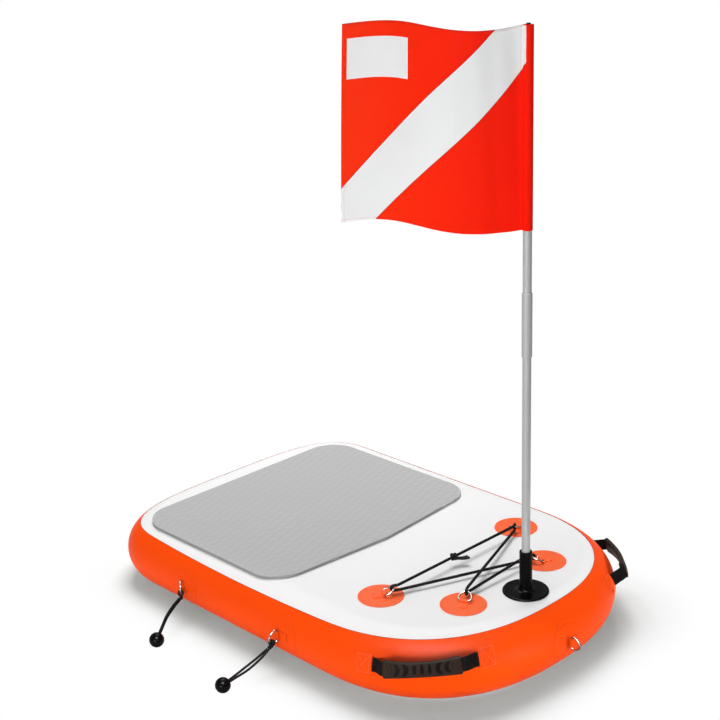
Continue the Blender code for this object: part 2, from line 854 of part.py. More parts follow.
def strap_outline(clearance):
    half = strap_width / 2 + clearance
    rise = strap_thickness / 2 + clearance
    widths = [half * share for share in (-1, -0.5, 0, 0.5, 1)]
    outline = [(width, rise) for width in widths] + [(width, -rise) for width in widths[::-1]]
    return lambda along: outline


def spaced(start, end, count):
    return [start + (end - start) * index / count for index in range(count + 1)]


anchor_envelope = new_cutter("anchor_envelope",
                             board_solid("anchor_envelope", rail_radius + seat_gap + anchor_thickness))
strap_end = anchor_from_middle - anchor_length / 2 + anchor_tuck
strap_foot = handle_span / 2
grip_fore = grip_aft_of_middle - grip_length / 2
grip_aft = grip_aft_of_middle + grip_length / 2
grip_run = spaced(grip_fore, grip_aft, 8)
strap_run = ([-strap_end] + spaced(-strap_foot, grip_fore, 6) + grip_run[1:-1]
             + spaced(grip_aft, strap_foot, 6) + [strap_end])
channel_run = [-strap_end - pocket_clearance] + strap_run[1:-1] + [strap_end + pocket_clearance]
grip_rise = grip_thickness / 2


def grip_outline(along):
    """The grip's bevelled section, widening from its waist to its ends."""
    from_waist = (along - grip_aft_of_middle) / (grip_length / 2)
    grip_across = (grip_waist + (grip_width - grip_waist) * from_waist ** 2) / 2
    return [
        (-grip_across, grip_rise - grip_bevel),
        (grip_bevel - grip_across, grip_rise),
        (grip_across - grip_bevel, grip_rise),
        (grip_across, grip_rise - grip_bevel),
        (grip_across, grip_bevel - grip_rise),
        (grip_across - grip_bevel, -grip_rise),
        (grip_bevel - grip_across, -grip_rise),
        (-grip_across, grip_bevel - grip_rise),
    ]


anchor_corners = [
    (-anchor_length / 2, -anchor_width / 2),
    (anchor_length / 2, -anchor_width / 2),
    (anchor_length / 2, anchor_width / 2),
    (-anchor_length / 2, anchor_width / 2),
]
anchor_outline = rounded(anchor_corners, [anchor_corner] * 4, 3)

for side, side_name in ((-1, "starboard"), (1, "port")):
    strap_name = "handle_strap_" + side_name
    new_part(strap_name, handle_loft(strap_name, side, strap_run, strap_outline(0.0)), black_webbing)
    channel_name = "strap_channel_" + side_name
    channel = new_cutter(channel_name, handle_loft(channel_name, side, channel_run,
                                                   strap_outline(pocket_clearance)))
    grip_name = "handle_grip_" + side_name
    grip = new_part(grip_name, handle_loft(grip_name, side, grip_run, grip_outline),
                    grip_rubber)
    join(grip, channel, "DIFFERENCE")
    for end, end_name in ((-1, "fore"), (1, "aft")):
        spot, normal, aft, up = rail_place(handle_from_bow + end * anchor_from_middle,
                                           strap_angle(end * anchor_from_middle), 0.0, side)
        aft = (aft - up * handle_slant * rail_radius).normalized()
        anchor_name = "handle_anchor_" + end_name + "_" + side_name
        anchor = new_part(anchor_name, plate(anchor_name, [anchor_outline], 2 * cutter_overrun), patch_pvc,
                          frame_at(spot, aft, normal))
        join(anchor, anchor_envelope, "INTERSECT")
        join(anchor, seat_envelope, "DIFFERENCE")
        join(anchor, channel, "DIFFERENCE")


# Mast: a black moulded socket on the deck, two poles joined by a coupling sleeve, and a top cap

mast_place = Matrix.Translation((0, mast_y, deck_height))
socket_profile = [
    (0, socket_floor),
    (socket_bore_radius, socket_floor),
    (socket_bore_radius, socket_height),
    (socket_radius, socket_height),
    (socket_radius, hub_height),
    (hub_radius, flange_thickness),
    (flange_radius - flange_bevel, flange_thickness),
    (flange_radius, flange_thickness - flange_bevel),
    (flange_radius, seat_gap),
    (0, seat_gap),
]
new_part("mast_socket", turned("mast_socket", socket_profile, 32), black_rubber, mast_place)


def tube_profile(inner, outer, low, high):
    return [(inner, high), (outer, high), (outer, low), (inner, low)]


pole_bore = mast_radius - mast_wall
pole_joint = sleeve_bottom + sleeve_length / 2
cap_seat = flag_top - flag_top_hem - mast_clearance - cap_rim
pole_top = cap_seat - mast_clearance
lower_profile = tube_profile(pole_bore, mast_radius, socket_floor + mast_clearance, pole_joint)
new_part("lower_pole", turned("lower_pole", lower_profile), glass_fibre, mast_place)
sleeve_profile = tube_profile(mast_radius + mast_clearance, sleeve_radius, sleeve_bottom,
                              sleeve_bottom + sleeve_length)
new_part("coupling_sleeve", turned("coupling_sleeve", sleeve_profile), glass_fibre, mast_place)
upper_profile = tube_profile(pole_bore, mast_radius, pole_joint + mast_clearance, pole_top)
new_part("upper_pole", turned("upper_pole", upper_profile), glass_fibre, mast_place)
cap_profile = [
    (0, cap_seat + cap_rim + cap_button_height),
    (cap_button_radius, cap_seat + cap_rim + cap_button_height),
    (cap_button_radius, cap_seat + cap_rim),
    (mast_radius, cap_seat + cap_rim),
    (mast_radius, cap_seat),
    (pole_bore - mast_clearance, cap_seat),
    (pole_bore - mast_clearance, cap_seat - cap_plug_length),
    (0, cap_seat - cap_plug_length),
]
new_part("mast_cap", turned("mast_cap", cap_profile), black_rubber, mast_place)


# Flag: one sheet of cloth with a sleeve for the pole, closed over the cap's shoulder

def flag_line(height_share):
    """The sheet's middle line in plan at a share of its height: one full wave along the fly."""
    swing = flag_bottom_swing + (flag_top_swing - flag_bottom_swing) * height_share
    x = 0.0
    y = 0.0
    rows = []
    for step in range(flag_fly_steps * 10 + 1):
        heading = flag_bearing + swing * math.cos(flag_wave_start + 2 * math.pi * step / (flag_fly_steps * 10))
        if step % 10 == 0:
            rows.append((x, y, heading))
        x += math.cos(heading) * flag_fly / (flag_fly_steps * 10)
        y += math.sin(heading) * flag_fly / (flag_fly_steps * 10)
    return rows


def flag_sheet():
    """Front and back faces half a thickness from the middle line, closed all round."""
    sleeve_mid = mast_radius + flag_sleeve_clearance + flag_sleeve_wall / 2
    rings = []
    lines = []
    for row in range(flag_hoist_steps + 1):
        share = row / flag_hoist_steps
        line = flag_line(share)
        first = (sleeve_mid * math.cos(line[0][2]), sleeve_mid * math.sin(line[0][2]), line[0][2])
        lines.append((flag_bottom + flag_hoist * share, [first] + line[1:]))
    for column in range(flag_fly_steps + 1):
        front = []
        back = []
        for height, line in lines:
            x, y, heading = line[column]
            shift_x = -math.sin(heading) * flag_thickness / 2
            shift_y = math.cos(heading) * flag_thickness / 2
            front.append((x + shift_x, y + shift_y, height))
            back.append((x - shift_x, y - shift_y, height))
        rings.append(front + back[::-1])
    mesh = skin_of_rings("flag", rings)
    bm = bmesh.new()
    bm.from_mesh(mesh)
    bmesh.ops.recalc_face_normals(bm, faces=bm.faces)
    bm.to_mesh(mesh)
    bm.free()
    return mesh


sleeve_inner = mast_radius + flag_sleeve_clearance
hole_radius = cap_button_radius + flag_sleeve_clearance
flag_sleeve_profile = [
    (hole_radius, flag_top),
    (sleeve_inner + flag_sleeve_wall, flag_top),
    (sleeve_inner + flag_sleeve_wall, flag_bottom),
    (sleeve_inner, flag_bottom),
    (sleeve_inner, flag_top - flag_top_hem),
    (hole_radius, flag_top - flag_top_hem),
]
flag = new_part("flag", turned("flag", flag_sleeve_profile), flag_cloth, mast_place)
join(flag, new_cutter("flag_sheet", flag_sheet(), mast_place), "UNION")


# Inflation valve: a moulded body through the stern rail, with a poppet stem and a quarter-turn cap

stern_spot, stern_normal, stern_run, stern_up = rail_place(rail_rows[-1][0], math.pi / 2, 0.0, 1)
valve_place = frame_at(stern_spot, (1, 0, 0), stern_normal)
valve_hole = new_cutter("valve_hole", cylinder("valve_hole", valve_barrel_radius + valve_clearance,
                                               -valve_depth - poppet_height - cutter_overrun,
                                               cutter_overrun), valve_place)
join(rail_band, valve_hole, "DIFFERENCE")
join(drop_stitch_core, valve_hole, "DIFFERENCE")
valve_envelope = new_cutter("valve_envelope",
                            board_solid("valve_envelope", rail_radius + seat_gap + valve_flange_height))
valve_body = new_part("valve_body", cylinder("valve_body", valve_flange_radius, -cutter_overrun,
                                             cutter_overrun, 28), valve_plastic, valve_place)
join(valve_body, valve_envelope, "INTERSECT")
join(valve_body, seat_envelope, "DIFFERENCE")
wall_middle = (valve_bore_radius + valve_barrel_radius) / 2
valve_bore = new_cutter("valve_bore", cylinder("valve_bore", wall_middle, -2 * cutter_overrun,
                                               2 * cutter_overrun, 28), valve_place)
join(valve_body, valve_bore, "DIFFERENCE")
barrel_profile = [
    (stem_radius + valve_clearance, valve_floor - valve_depth),
    (valve_bore_radius, valve_floor - valve_depth),
    (valve_bore_radius, valve_rim_height),
    (valve_rim_radius, valve_rim_height),
    (valve_rim_radius, valve_flange_height / 2),
    (valve_barrel_radius, valve_flange_height / 2),
    (valve_barrel_radius, -valve_depth),
    (stem_radius + valve_clearance, -valve_depth),
]
barrel = new_cutter("valve_barrel", turned("valve_barrel", barrel_profile, 28), valve_place)
join(valve_body, barrel, "UNION")
for index in range(4):
    turn = math.pi / 2 * index
    vent_place = valve_place @ Matrix.Translation((valve_vent_circle * math.cos(turn),
                                                   valve_vent_circle * math.sin(turn), 0))
    vent_name = "valve_vent_" + str(index)
    vent = cylinder(vent_name, valve_vent_radius, -valve_depth - cutter_overrun,
                    valve_floor - valve_depth + valve_floor, 12)
    join(valve_body, new_cutter(vent_name, vent, vent_place), "DIFFERENCE")

stem_low = -valve_depth - valve_clearance - poppet_height
stem_profile = [
    (0, -stem_top),
    (stem_button_radius, -stem_top),
    (stem_button_radius, -stem_top - stem_button_height),
    (stem_radius, -stem_top - stem_button_height),
    (stem_radius, stem_low + poppet_height),
    (poppet_radius, stem_low + poppet_height),
    (poppet_radius, stem_low),
    (0, stem_low),
]
new_part("valve_stem", turned("valve_stem", stem_profile, 20), valve_plastic, valve_place)
cap_low = valve_rim_height + valve_clearance
valve_cap_profile = [
    (0, cap_low + cap_height),
    (cap_radius - flange_bevel, cap_low + cap_height),
    (cap_radius, cap_low + cap_height - flange_bevel),
    (cap_radius, cap_low),
    (cap_spigot_radius, cap_low),
    (cap_spigot_radius, cap_low - cap_spigot_depth),
    (cap_spigot_radius - valve_floor / 2, cap_low - cap_spigot_depth),
    (cap_spigot_radius - valve_floor / 2, cap_low + valve_clearance),
    (0, cap_low + valve_clearance),
]
valve_cap = new_part("valve_cap", turned("valve_cap", valve_cap_profile, 28), valve_plastic, valve_place)
cap_bar = box("valve_cap_bar", (-grip_reach, -cap_grip_width / 2, cap_low + cap_height / 2),
              (grip_reach, cap_grip_width / 2, cap_low + cap_height + cap_grip_height))
join(valve_cap, new_cutter("valve_cap_bar", cap_bar, valve_place), "UNION")
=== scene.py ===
"""Inflatable dive flag float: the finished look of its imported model, in a plain pale studio."""
import json
import math

import bmesh
import bpy
import numpy as np
from mathutils import Matrix, Vector

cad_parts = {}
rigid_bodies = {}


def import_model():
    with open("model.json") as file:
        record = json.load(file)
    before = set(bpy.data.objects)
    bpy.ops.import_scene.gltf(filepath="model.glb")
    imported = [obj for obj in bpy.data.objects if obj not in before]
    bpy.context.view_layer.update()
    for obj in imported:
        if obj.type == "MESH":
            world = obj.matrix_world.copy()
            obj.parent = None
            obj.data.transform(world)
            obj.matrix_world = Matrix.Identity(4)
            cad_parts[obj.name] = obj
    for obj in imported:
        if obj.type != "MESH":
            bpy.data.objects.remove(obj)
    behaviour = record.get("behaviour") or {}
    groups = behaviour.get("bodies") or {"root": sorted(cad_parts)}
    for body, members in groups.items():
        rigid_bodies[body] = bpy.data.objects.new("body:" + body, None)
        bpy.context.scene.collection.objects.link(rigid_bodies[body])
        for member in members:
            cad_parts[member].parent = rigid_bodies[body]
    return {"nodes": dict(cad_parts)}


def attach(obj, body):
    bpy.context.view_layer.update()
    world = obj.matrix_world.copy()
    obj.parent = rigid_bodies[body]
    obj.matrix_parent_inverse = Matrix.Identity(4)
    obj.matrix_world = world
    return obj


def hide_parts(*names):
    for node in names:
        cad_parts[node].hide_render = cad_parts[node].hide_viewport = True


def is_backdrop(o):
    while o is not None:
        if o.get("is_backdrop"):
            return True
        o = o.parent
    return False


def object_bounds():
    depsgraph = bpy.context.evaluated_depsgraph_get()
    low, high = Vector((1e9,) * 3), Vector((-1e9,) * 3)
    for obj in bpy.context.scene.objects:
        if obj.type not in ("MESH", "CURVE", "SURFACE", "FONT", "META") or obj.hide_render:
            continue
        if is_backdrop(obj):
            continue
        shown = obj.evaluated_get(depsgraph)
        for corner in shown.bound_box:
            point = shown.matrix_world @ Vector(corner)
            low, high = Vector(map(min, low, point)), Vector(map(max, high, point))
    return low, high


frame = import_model()
packed_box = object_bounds()

# Studio: a pale seamless floor under one overhead softbox that stands a little behind the float, low
# softboxes to starboard and ahead, a dim one behind and one that only gives the cloth its sheen. The
# camera stands off the starboard bow with a medium telephoto lens.

floor_size = 14.0
camera_place = Vector((-1.6897, -1.7270, 1.2852))
camera_look = Vector((0.6551, 0.6804, -0.3284)).normalized()
camera_level = Vector((0.7204, -0.6936, 0.0)).normalized()
camera_roll = math.radians(-1.964)
camera_lens = 73.785
hull_block = (0.20, 0.34, 0.0)
melt_start = 0.085
melt_end = 0.190
paper_glow = 0.05
air_light = 0.28


def paint(code):
    """A hex colour code turned from sRGB to the linear numbers that shaders use."""
    levels = [int(code[place:place + 2], 16) / 255 for place in (1, 3, 5)]
    return tuple(v / 12.92 if v <= 0.04045 else ((v + 0.055) / 1.055) ** 2.4 for v in levels) + (1.0,)


def fill(node, inputs):
    """Sets a node's inputs, or links them to other nodes' outputs, by their names or numbers."""
    for key, value in inputs.items():
        if isinstance(value, bpy.types.NodeSocket):
            node.id_data.links.new(value, node.inputs[key])
        else:
            node.inputs[key].default_value = value


def add_node(tree, kind, inputs=(), out=None, **settings):
    """Adds a shader node with its settings and inputs, and gives the output that is named, or else
    the first one in use."""
    made = tree.nodes.new("ShaderNode" + kind)
    for key, value in settings.items():
        setattr(made, key, value)
    fill(made, dict(inputs))
    return made.outputs[out] if out else next((socket for socket in made.outputs if socket.enabled), None)


def shell(name, points, faces):
    """A mesh from an array of points and an array or list of faces."""
    mesh = bpy.data.meshes.new(name)
    mesh.from_pydata(np.asarray(points, float).reshape(-1, 3).tolist(), [], [list(face) for face in faces])
    return mesh


def into_studio(name, data):
    """A new object in the studio."""
    made = bpy.data.objects.new(name, data)
    studio.collection.objects.link(made)
    return made


studio = bpy.context.scene
studio.view_settings.view_transform = "Standard"
studio.render.film_transparent = False

right = (camera_level * math.cos(camera_roll)
         + camera_level.cross(camera_look) * math.sin(camera_roll)).normalized()
turn = Matrix((right, right.cross(camera_look).normalized(), -camera_look)).transposed().to_4x4()
turn.translation = camera_place
eye = into_studio("studio_camera", bpy.data.cameras.new("studio_camera"))
eye.matrix_world = turn
eye.data.sensor_width = 36.0
eye.data.lens = camera_lens
eye.data.clip_end = 60.0
eye.data.dof.use_dof = False
studio.camera = eye

half = floor_size / 2
floor_mesh = shell("studio_floor", [(-half, -half, 0), (half, -half, 0), (half, half, 0), (-half, half, 0)],
                   [(0, 1, 2, 3)])
into_studio("studio_floor", floor_mesh)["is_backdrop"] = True

# Matt white seamless paper: it takes the object's shadow near the object, and melts into plain white by
# 90 mm outside the hull, whose outline here is a block with 100 mm round its edge.
paper = bpy.data.materials.new("seamless_paper_matt_white")
paper.use_nodes = True
tree = paper.node_tree
tree.nodes.clear()
seen = add_node(tree, "LightPath", out="Is Camera Ray")
away = add_node(tree, "TexCoord", out="Object")
for operation, other in (("ABSOLUTE", None), ("SUBTRACT", hull_block), ("MAXIMUM", (0.0, 0.0, 0.0)),
                         ("LENGTH", None)):
    away = add_node(tree, "VectorMath", {0: away, 1: other} if other else {0: away}, operation=operation)
melt = add_node(tree, "MapRange", {"Value": away, "From Min": melt_start, "From Max": melt_end},
                interpolation_type="SMOOTHSTEP")
melt = add_node(tree, "Math", {0: melt, 1: seen}, operation="MULTIPLY")
lift = add_node(tree, "Math", {0: seen, 1: paper_glow}, operation="MULTIPLY")
matt = add_node(tree, "BsdfDiffuse", {"Color": paint("#F2F2F2")})
glow = add_node(tree, "Emission", {"Color": (1, 1, 1, 1), "Strength": lift})
both = add_node(tree, "AddShader", {0: matt, 1: glow})
white = add_node(tree, "Emission", {"Color": (1, 1, 1, 1), "Strength": 1.0})
blend = add_node(tree, "MixShader", {0: melt, 1: both, 2: white})
add_node(tree, "OutputMaterial", {"Surface": blend})
floor_mesh.materials.append(paper)

air = bpy.data.worlds.new("studio_air")
air.use_nodes = True
tree = air.node_tree
tree.nodes.clear()
seen = add_node(tree, "LightPath", out="Is Camera Ray")
seen = add_node(tree, "Math", {0: seen, 1: seen.node.outputs["Is Transmission Ray"]}, operation="MAXIMUM")
level = add_node(tree, "MapRange", {"Value": seen, "To Min": air_light, "To Max": 1.0})
sky = add_node(tree, "Background", {"Color": (1, 1, 1, 1), "Strength": level})
add_node(tree, "OutputWorld", {"Surface": sky})
studio.world = air


def softbox(name, place, aim, width, height, power):
    """An oblong lamp that faces a point."""
    lamp = bpy.data.lights.new(name, "AREA")
    lamp.shape = "RECTANGLE"
    lamp.size = width
    lamp.size_y = height
    lamp.energy = power
    held = into_studio(name, lamp)
    held.location = place
    held.rotation_euler = (Vector(aim) - Vector(place)).to_track_quat("-Z", "Y").to_euler()
    return held


softbox("softbox_overhead", (0.60, 0.75, 2.3), (0, 0, 0.1), 1.5, 1.5, 49)
softbox("softbox_starboard", (-2.85, -1.0, 0.45), (0, 0, 0.10), 1.5, 0.7, 45)
ahead = softbox("softbox_ahead", (0.9, -2.75, 0.16), (0.1, -0.2, 0.06), 1.4, 0.2, 1.0)
ahead.data.spread = math.radians(16)
ahead.visible_glossy = False
softbox("softbox_behind", (1.8, 2.4, 1.2), (0, 0, 0.3), 1.4, 1.4, 5)
sheen = softbox("softbox_sheen", (-1.05, -1.00, 2.1), (0, 0, 0.1), 1.4, 1.0, 160)
sheen.visible_diffuse = False


# Board hull: two flat drop-stitch panels of white PVC-coated polyester and an orange band of the same
# cloth, welded round the edge. Air pressure swells the edge into a half-round rail.

board_height = 0.120
rail_radius = board_height / 2
flat_length = 0.762
flat_half_width = 0.240
bow_round = (0.2306, 2.457)
stern_round = (0.0995, 3.64)
bow_tip = -0.3762
stern_tip = bow_tip + flat_length
skin = 0.0012
deck_centre = 0.02
low_seam = math.pi - math.radians(26)
weld_width = 0.0060
weld_lip = 0.0005
bead_radius = 0.00045


def quarter(length, power, steps):
    """A superellipse quarter: its run along the axis, its half width and its two outward parts.

    The half width is the full half width times the sine to the power 2 over p, the run is the length
    times one minus the cosine to the same power, and the outward direction is the curve's gradient."""
    angle = np.linspace(0, math.pi / 2, steps)
    wide = np.sin(angle) ** (2 / power)
    long = np.cos(angle).clip(0) ** (2 / power)
    across = wide ** (power - 1) / flat_half_width
    forward = long ** (power - 1) / length
    size = np.hypot(across, forward)
    return length * (1 - long), flat_half_width * wide, across / size, forward / size


run, wide, across, forward = quarter(*bow_round, 4000)
bow_half = np.stack([wide, bow_tip + run, across, -forward])
run, wide, across, forward = quarter(*stern_round, 4000)
stern_half = np.stack([wide, stern_tip - run, across, forward])[:, ::-1]
edge = np.concatenate([bow_half, stern_half], axis=1)
edge_run = np.hypot(*np.diff(edge[:2] + edge[2:] * rail_radius, axis=1))
edge_run = np.concatenate([[0], np.cumsum(edge_run)])
rail_half_length = edge_run[-1]


def rail_frame(distance, angle, height, side):
    """Points at a height over the rail, with the outward, aft and up directions there.

    Distance runs along the outer rail from the bow tip, angle is measured from straight up, and the
    point is the panel's edge plus the outward direction times the rail's radius and the height."""
    distance, angle, height = np.broadcast_arrays(np.asarray(distance, float), angle, height)
    side = side * np.where(distance < 0, -1.0, 1.0)
    x, y, nx, ny = (np.interp(np.abs(distance), edge_run, row) for row in edge)
    size = np.hypot(nx, ny)
    nx, ny = side * nx / size, ny / size
    normal = np.stack([nx * np.sin(angle), ny * np.sin(angle), np.cos(angle)], -1)
    up = np.stack([-nx * np.cos(angle), -ny * np.cos(angle), np.sin(angle)], -1)
    aft = np.stack([-side * ny, side * nx, 0 * nx], -1)
    place = np.stack([side * x, y, 0 * x + rail_radius], -1) + normal * (rail_radius + height)[..., None]
    return place, normal, aft, up


def seam_angle(y, side):
    """How far round the rail the deck reaches: a parabola through 33 degrees at the stern, 25 at the bow
    and, as the deck lies a little to starboard, 44 amidships on that side and 24.5 on the other."""
    share = (stern_tip - y) / flat_length
    middle = np.where(side < 0, 44.0, 24.5)
    return np.radians(33 * (1 - share) * (1 - 2 * share) + 4 * middle * share * (1 - share)
                      + 25 * share * (2 * share - 1))


def grid_faces(rows, columns, around):
    """Quads between neighbouring points of a grid, joined round its columns where it is closed."""
    reach = columns if around else columns - 1
    row, column = np.meshgrid(np.arange(rows - 1), np.arange(reach), indexing="ij")
    after = (column + 1) % columns
    quads = [row * columns + column, row * columns + after, (row + 1) * columns + after,
             (row + 1) * columns + column]
    return np.stack(quads, -1).reshape(-1, 4)


def add_map(mesh, grids):
    """Gives a mesh of grids, one after another, its cloth map: two numbers at each corner of a face.

    A face that closes a round reads the column past the last, so that the map runs on there."""
    marks = []
    for faces, columns, uv in grids:
        row, column = faces // columns, faces % columns
        spread = column.max(axis=1, keepdims=True) - column.min(axis=1, keepdims=True)
        column = np.where((spread > 1) & (column == 0), columns, column)
        marks.append(uv[row, column].reshape(-1, 2))
    layer = mesh.uv_layers.new(name="cloth")
    layer.data.foreach_set("uv", np.concatenate(marks).astype(np.float32).ravel())


def seal(mesh, caps=(), holes=False, outward=True):
    """Welds a mesh's seams and poles, closes its open ends and turns its faces outwards."""
    bm = bmesh.new()
    bm.from_mesh(mesh)
    bm.verts.ensure_lookup_table()
    for cap in caps:
        bm.faces.new([bm.verts[index] for index in cap])
    bmesh.ops.remove_doubles(bm, verts=bm.verts, dist=0.000002)
    if holes:
        bmesh.ops.holes_fill(bm, edges=[edge for edge in bm.edges if edge.is_boundary], sides=0)
    if outward:
        bmesh.ops.recalc_face_normals(bm, faces=bm.faces)
    bm.to_mesh(mesh)
    bm.free()


def finish_piece(name, mesh, material, body, sharp, node):
    """Gives a mesh its finish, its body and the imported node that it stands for."""
    mesh.materials.append(material)
    mesh.shade_smooth()
    mesh.set_sharp_from_angle(angle=math.radians(sharp))
    piece = into_studio(name, mesh)
    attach(piece, body)
    if node:
        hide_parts(node)
    return piece


def surface(name, grid, material, body="board", around=True, ends=False, uv=None, sharp=38, node=None,
            closed=True):
    """A piece from a grid of points: its faces, welded seams and poles, and its finish.

    Where it is closed its faces are turned outwards; uv gives two more numbers at each grid corner."""
    rows, columns = grid.shape[:2]
    faces = grid_faces(rows, columns, around)
    mesh = shell(name, grid, faces)
    if uv is not None:
        add_map(mesh, [(faces, columns, uv)])
    ring = list(range(columns))
    last = (rows - 1) * columns
    seal(mesh, [ring, [last + index for index in ring[::-1]]] if ends else (), outward=closed)
    return finish_piece(name, mesh, material, body, sharp, node)


def new_finish(name):
    """A new material with its node tree and its shader."""
    material = bpy.data.materials.new(name)
    material.use_nodes = True
    return material, material.node_tree, material.node_tree.nodes["Principled BSDF"]


def toned(colour, share, lift=0.0):
    """A colour with its light multiplied by a share and lifted a little."""
    return tuple(min(1.0, channel * share + lift) for channel in colour[:3]) + (1.0,)


def coated_cloth(name, code, roughness, mottle, specular):
    """PVC-coated polyester, calendered smooth over its weave: a soft sheen, the faintest thread grid at
    1.1 mm, long shallow ripples from the pressure inside, and a little uneven dulling."""
    material, tree, shader = new_finish(name)
    spot = add_node(tree, "TexCoord", out="Object")
    cloud = add_node(tree, "TexNoise", {"Vector": spot, "Scale": 9.0, "Detail": 4.0})
    tint = add_node(tree, "Mix", {"Factor": cloud, "A": paint(code), "B": toned(paint(code), 1 - mottle)},
                    data_type="RGBA")
    rough = add_node(tree, "MapRange", {"Value": cloud, "To Min": roughness - 0.04,
                                        "To Max": roughness + 0.05})
    thread = add_node(tree, "TexVoronoi", {"Vector": spot, "Scale": 900.0, "Randomness": 0.2},
                      distance="CHEBYCHEV")
    ripple = add_node(tree, "TexNoise", {"Vector": spot, "Scale": 14.0, "Detail": 2.0})
    weave = add_node(tree, "Bump", {"Strength": 0.10, "Distance": 0.0001, "Height": thread})
    swell = add_node(tree, "Bump", {"Strength": 0.22, "Distance": 0.0016, "Height": ripple, "Normal": weave})
    fill(shader, {"Base Color": tint, "Roughness": rough, "Normal": swell, "IOR": 1.52,
                  "Specular IOR Level": specular})
    return material


white_cloth = coated_cloth("pvc_coated_polyester_white", "#F1F1F1", 0.42, 0.03, 0.10)
orange_cloth = coated_cloth("pvc_coated_polyester_orange", "#FF4C02", 0.42, 0.05, 0.06)
hull_columns = 520
starts = np.linspace(0, 2 * rail_half_length, hull_columns, endpoint=False)
hull_run = np.where(starts <= rail_half_length, starts, 2 * rail_half_length - starts)
hull_side = np.where(starts <= rail_half_length, 1.0, -1.0)
hull_y = np.interp(hull_run, edge_run, edge[1])
deck_seam = seam_angle(hull_y, hull_side)


def hull_ring(angle, height):
    """One ring of points all round the hull, at an angle from straight up and a height over the rail."""
    return rail_frame(hull_run, angle, height, hull_side)[0]


def panel_ring(share, z):
    """The panel's edge drawn in towards the middle of the deck by a share, at one height."""
    x = np.interp(hull_run, edge_run, edge[0]) * hull_side
    return np.stack([x * share, deck_centre + (hull_y - deck_centre) * share, 0 * x + z], -1)


def panel_skin(name, top):
    """A flat panel that carries on round the rail to its seam, and back again on its inner face."""
    outer = board_height if top else 0.0
    inner = outer - skin if top else outer + skin
    reach = deck_seam if top else math.pi - low_seam
    rows = [panel_ring(share, outer) for share in np.linspace(0, 1, 15)]
    for shares, height in ((np.linspace(0, 1, 15)[1:], 0.0), (np.linspace(1, 0, 9), -skin)):
        rows += [hull_ring(reach * share if top else math.pi - reach * share, height) for share in shares]
    rows += [panel_ring(share, inner) for share in np.linspace(1, 0, 9)[1:]]
    surface(name, np.array(rows), white_cloth, node="deck_skin" if top else "bottom_skin")


panel_skin("deck_panel", True)
panel_skin("bottom_panel", False)

band_start = deck_seam - weld_width * 0.3 / rail_radius
band_reach = low_seam - deck_seam
rows = [hull_ring(band_start + band_reach * share, weld_lip) for share in np.linspace(0, 1, 41)]
rows += [hull_ring(band_start + band_reach * share, -skin / 2 if 0.02 < share < 0.98 else 0.00005)
         for share in np.linspace(1, 0, 21)]
band = surface("rail_band_cloth", np.array(rows + rows[:1]), orange_cloth, node="rail_band",
               sharp=60)

# A bead of darker cloth 0.9 mm thick along each weld at the band's edges: painted shade, the thin shadow line
# along the seam.
seam_shade_cloth = coated_cloth("pvc_coated_polyester_seam_shade", "#B03808", 0.60, 0.05, 0.16)
turn = np.linspace(0, 2 * math.pi, 9)[:, None]
for name, angle in (("upper", band_start), ("lower", low_seam + 0 * deck_seam)):
    bead = hull_ring(angle + bead_radius / rail_radius * np.cos(turn),
                     weld_lip - 0.0002 + bead_radius * np.sin(turn))
    surface("rail_band_edge_" + name, bead, seam_shade_cloth)


# Traction pad: 5 mm closed-cell EVA foam, glued down on the deck and over the start of the starboard
# rail, its top embossed with flat diamonds. Its edge is cut square and slightly broken.

pad_half_width = 0.2475
pad_middle_x = -0.0144
pad_length = 0.4015
pad_point = 0.020
pad_aft = stern_tip - 0.027
pad_fore = pad_aft - pad_length + pad_point
pad_corner_radius = 0.058
pad_point_radius = 0.030
pad_top = 0.0053
pad_foot = 0.0003
pad_broken = 0.0009
groove_pitch = 0.0156
groove_lean = math.radians(17.2)
groove_depth = 0.0008


def unit(vectors):
    """The same directions at a length of one."""
    return vectors / np.linalg.norm(vectors, axis=-1, keepdims=True)


def run_along(route):
    """Metres gone along a route at each of its points."""
    return np.concatenate([[0], np.cumsum(np.linalg.norm(np.diff(route, axis=0), axis=1))])


def read_off(values, gone, marks):
    """Rows of values read at marks along a route, straight between its points."""
    return np.stack([np.interp(marks, gone, column) for column in np.transpose(values)], -1)


def rounded_outline(corners, radii, steps):
    """An outline whose corners are arcs: each arc's centre lies on the corner's bisector, at the
    radius over the sine of half the corner, and touches both sides."""
    corners = np.array(corners, float)
    back = unit(np.roll(corners, 1, axis=0) - corners)
    ahead = unit(np.roll(corners, -1, axis=0) - corners)
    half_corner = np.arccos((back * ahead).sum(axis=1)) / 2
    radii = np.array(radii, float)[:, None]
    centre = corners + unit(back + ahead) * radii / np.sin(half_corner)[:, None]
    start = corners + back * radii / np.tan(half_corner)[:, None] - centre
    angle = (math.pi - 2 * half_corner)[:, None] * np.linspace(0, 1, steps)
    x = start[:, :1] * np.cos(angle) - start[:, 1:] * np.sin(angle) + centre[:, :1]
    y = start[:, :1] * np.sin(angle) + start[:, 1:] * np.cos(angle) + centre[:, 1:]
    return np.stack([x, y], -1).reshape(-1, 2)


